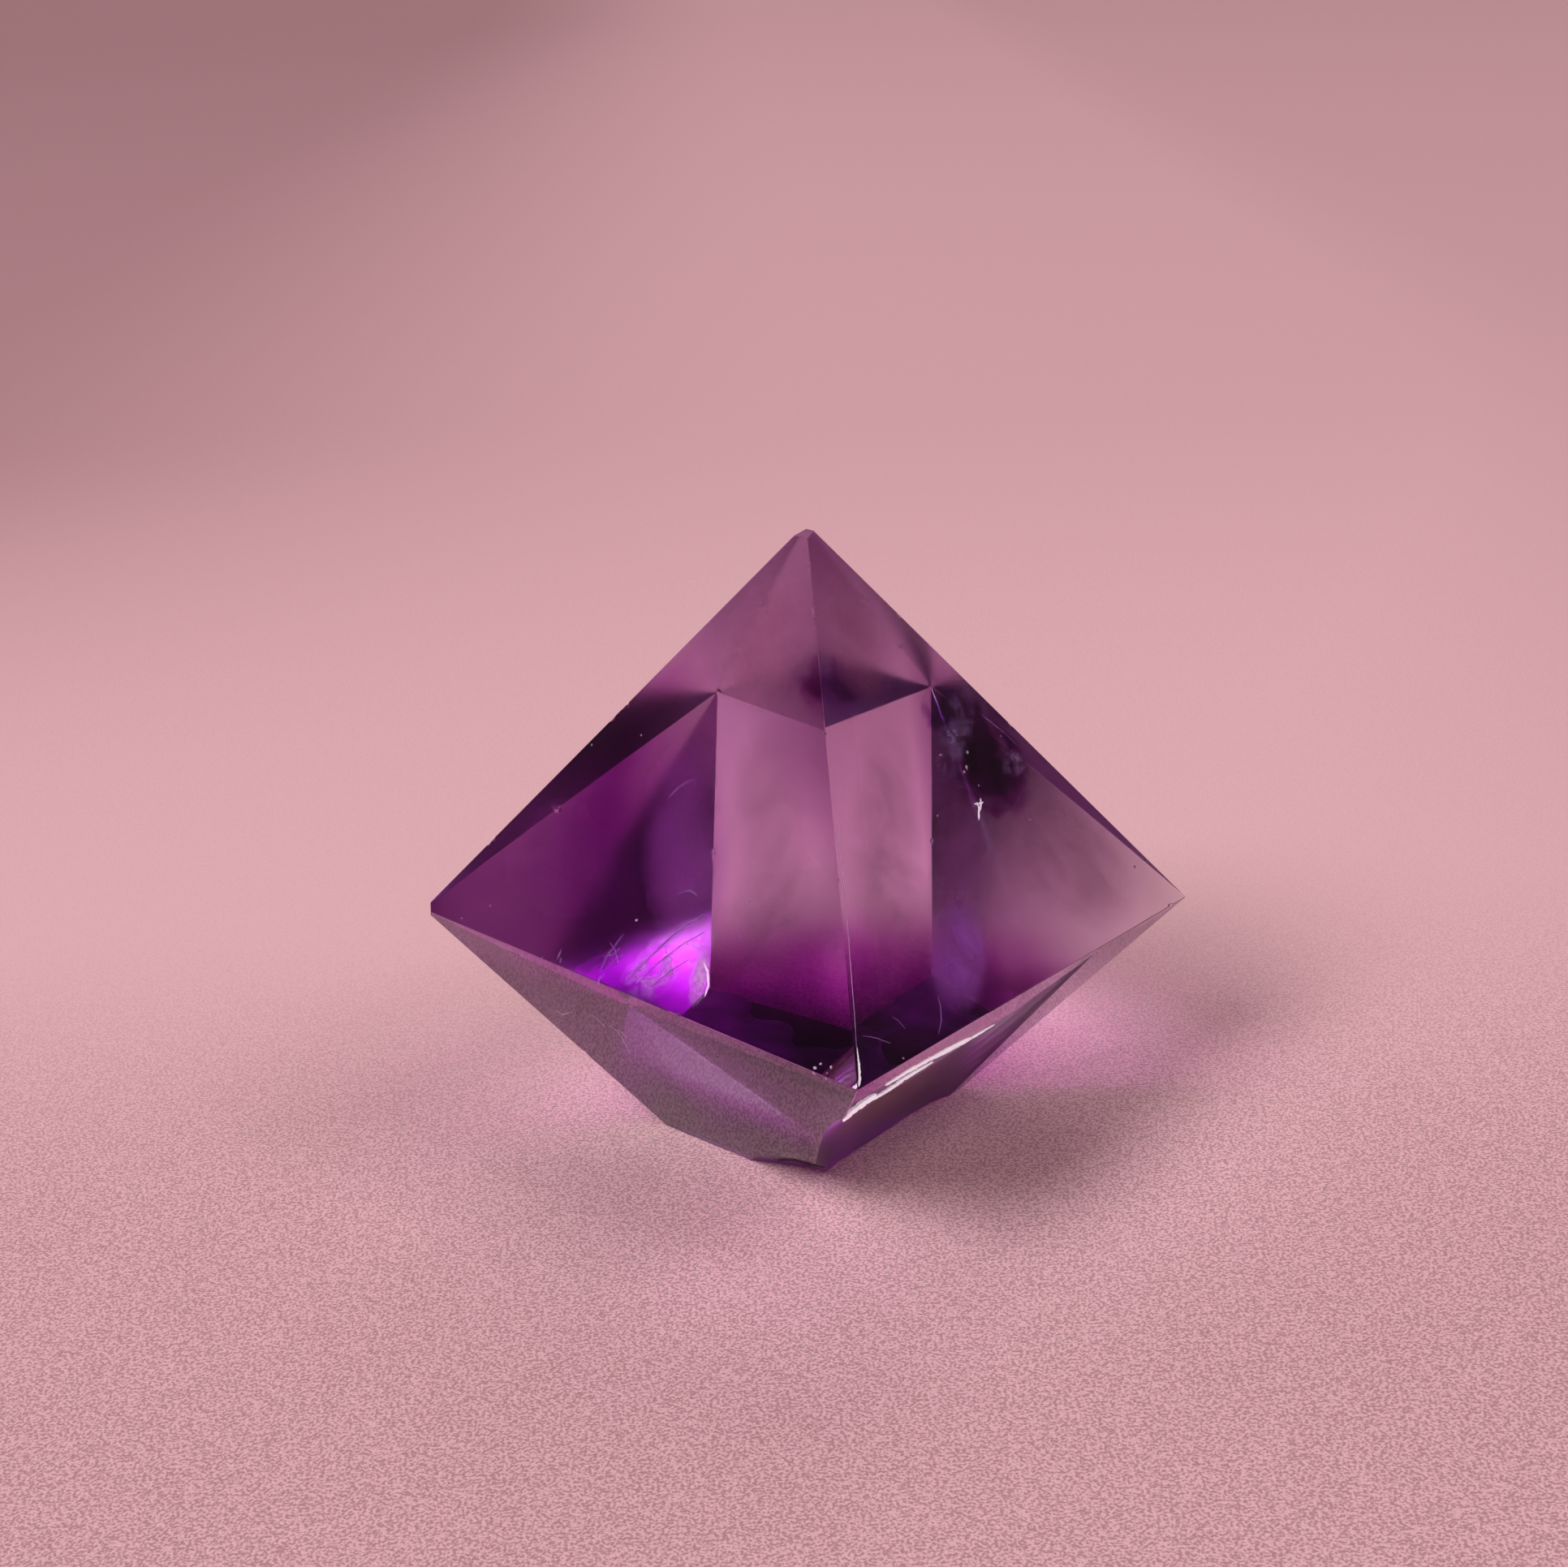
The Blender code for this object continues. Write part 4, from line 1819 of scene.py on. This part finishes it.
@dataclass
class Studio:
    """A plain pale floor, soft lamps and a dim plain surround.

    Each lamp is its azimuth from +Y towards +X, its height in degrees, its width in metres
    and its strength. The sheet's sides and depth are its least and most x and y, in metres,
    with how many points lie between.
    """

    floor_colour: tuple = (0.88, 0.52, 0.555, 1.0)
    # Painted shade: the paper's deeper colour far off, to the back and the sides
    floor_shade: tuple = (0.48, 0.255, 0.275, 1.0)
    floor_gap: float = 0.03 * MM
    # Painted light: a paler pool on the paper round the crystal, where light through it falls
    lit_pool_colour: tuple = (0.98, 0.60, 0.645, 1.0)
    lit_pool_reach: tuple = (12.0 * MM, 30.0 * MM)
    pit_shade: tuple = (0.50, 0.42, 0.43, 1.0)
    grain_share: float = 0.8
    grain_size: float = 0.14 * MM
    grain_height: float = 0.08 * MM
    grain_reach: tuple = (-8.0 * MM, 30.0 * MM)
    grain_least: float = 0.05
    grain_fade: tuple = (45.0 * MM, 75.0 * MM)
    grain_far: float = 0.25
    pit_gap: tuple = (0.34, 0.64)
    pit_least: float = 0.12
    # Where the painted shade comes in, to the back, the left and the right
    back_reach: tuple = (30.0 * MM, 190.0 * MM)
    left_reach: tuple = (10.0 * MM, -130.0 * MM)
    left_shade: tuple = (0.28, 0.95)
    right_reach: tuple = (20.0 * MM, 120.0 * MM)
    right_shade: float = 0.42
    roughness: float = 0.85
    sheen_level: float = 0.2
    sides: tuple = (-2.4, 2.4, 49)
    depth: tuple = (-1.2, 2.8, 81)
    sweep_start: float = 1.0
    sweep: float = 0.30
    lamps: tuple = (
        (231.0, 44.0, 1.40, 2.85),
        (112.0, 45.0, 0.84, 1.7),
        (131.3, 56.2, 0.50, 2.9),
        (167.0, 20.0, 1.40, 0.08),
        (18.0, 9.0, 1.40, 0.08),
        (205.0, 76.0, 3.00, 0.075),
        (0.0, 20.0, 0.84, 0.5),
        (15.0, 45.0, 1.20, 0.60),
        (300.0, 30.0, 0.84, 0.5),
    )
    lamp_distance: float = 3.0
    surround: tuple = (0.12, 0.07, 0.085, 1.0)

    def build(self) -> None:
        """Makes the floor, the lamps and the surround."""
        self.build_floor()
        for azimuth, elevation, size, strength in self.lamps:
            self.add_lamp(azimuth, elevation, size, strength)
        world = bpy.data.worlds.new("surround")
        world.use_nodes = True
        world.node_tree.nodes["Background"].inputs["Color"].default_value = self.surround
        bpy.context.scene.world = world

    def build_floor(self) -> None:
        """A level sheet that sweeps up far behind: z = sweep (y - start)^2 past the start."""
        x, y = np.meshgrid(np.linspace(*self.sides), np.linspace(*self.depth), indexing="ij")
        z = self.sweep * np.clip(y - self.sweep_start, 0.0, None) ** 2 - self.floor_gap
        floor = add_object("floor", np.stack([x, y, z], -1), grid_quads(*x.shape)[:, ::-1].tolist())
        floor.data.shade_smooth()
        material, wiring = new_material("floor_paper")
        wiring.surface("ShaderNodeBsdfPrincipled", {
            "Base Color": self.paper(wiring),
            "Roughness": self.roughness,
            "Specular IOR Level": self.sheen_level,
            "Normal": self.grain(wiring),
        })
        floor.data.materials.append(material)

    def paper(self, wiring: Wiring) -> Socket:
        """The paper's colour: a painted pool of light round the crystal, painted shade far off, and
        pitted close by.

        Args:
            wiring: the floor material's wiring.

        Returns:
            The colour.
        """
        place = wiring.place()
        ahead = wiring.along(place, (0.0, 1.0, 0.0))
        across = wiring.along(place, (1.0, 0.0, 0.0))
        reach = wiring.vector("LENGTH", place).outputs["Value"]
        # Painted light round the crystal, and painted shade to the back and the sides
        near = wiring.ramp(reach, *self.lit_pool_reach, 1.0, 0.0)
        back = wiring.ramp(ahead, *self.back_reach, 0.0, 1.0)
        left = wiring.ramp(across, *self.left_reach, *self.left_shade)
        right = wiring.ramp(across, *self.right_reach, 0.0, self.right_shade)
        far = wiring.maths("MAXIMUM", wiring.times(back, left), right)
        pits = wiring.ramp(wiring.noise(place, self.grain_size, 1.0), *self.pit_gap, 1.0, 0.0)
        close = wiring.ramp(ahead, *self.grain_reach, self.grain_share, self.pit_least)
        colour = wiring.blend(near, self.floor_colour, self.lit_pool_colour)
        colour = wiring.blend(far, colour, self.floor_shade)
        return wiring.blend(wiring.times(pits, close), colour, self.pit_shade, "MULTIPLY")

    def grain(self, wiring: Wiring) -> Socket:
        """The paper's fine grain, strongest in front of the crystal and faint behind it.

        Args:
            wiring: the floor material's wiring.

        Returns:
            The normal.
        """
        place = wiring.place()
        depth = wiring.along(place, (0.0, -1.0, 0.0))
        share = wiring.ramp(depth, *self.grain_reach, self.grain_least, 1.0)
        far = wiring.ramp(depth, *self.grain_fade, 1.0, self.grain_far)
        height = wiring.noise(place, self.grain_size)
        return wiring.bump(self.grain_height, height, wiring.times(share, far))

    def add_lamp(self, azimuth: float, elevation: float, size: float, strength: float) -> None:
        """A round soft lamp aimed at the crystal.

        Args:
            azimuth: degrees from +Y towards +X.
            elevation: degrees above the floor.
            size: its width in metres.
            strength: its brightness.
        """
        a, e = math.radians(azimuth), math.radians(elevation)
        way = np.array([math.sin(a) * math.cos(e), math.cos(a) * math.cos(e), math.sin(e)])
        light = bpy.data.lights.new("soft_lamp", "AREA")
        light.shape = "DISK"
        light.size = size
        light.energy = strength * (math.pi * size) ** 2
        lamp = bpy.data.objects.new("soft_lamp", light)
        lamp.rotation_euler = Vector(-way).to_track_quat("-Z", "Y").to_euler()
        lamp.location = way * self.lamp_distance
        bpy.context.scene.collection.objects.link(lamp)


def main() -> None:
    """Builds the crystal, what is sealed in it, the room and the camera."""
    logging.basicConfig(level=logging.INFO, format="%(name)s: %(message)s")
    SIGHT.add_camera()
    bpy.context.scene.view_settings.view_transform = "Standard"
    # Long light paths, with no filter on glossy light, so that light through the glass gets out
    # again and reaches the floor
    cycles = bpy.context.scene.cycles
    cycles.max_bounces = 12
    cycles.glossy_bounces = 10
    cycles.transmission_bounces = 12
    cycles.transparent_max_bounces = 24
    cycles.blur_glossy = 0.0
    for part in (
        CrystalBody(),
        *colour_clouds(),
        *left_marks(),
        *right_marks(),
        *lower_marks(),
        *front_edge_highlights(),
    ):
        report(part.build())
    Studio().build()


if __name__ == "__main__":
    main()
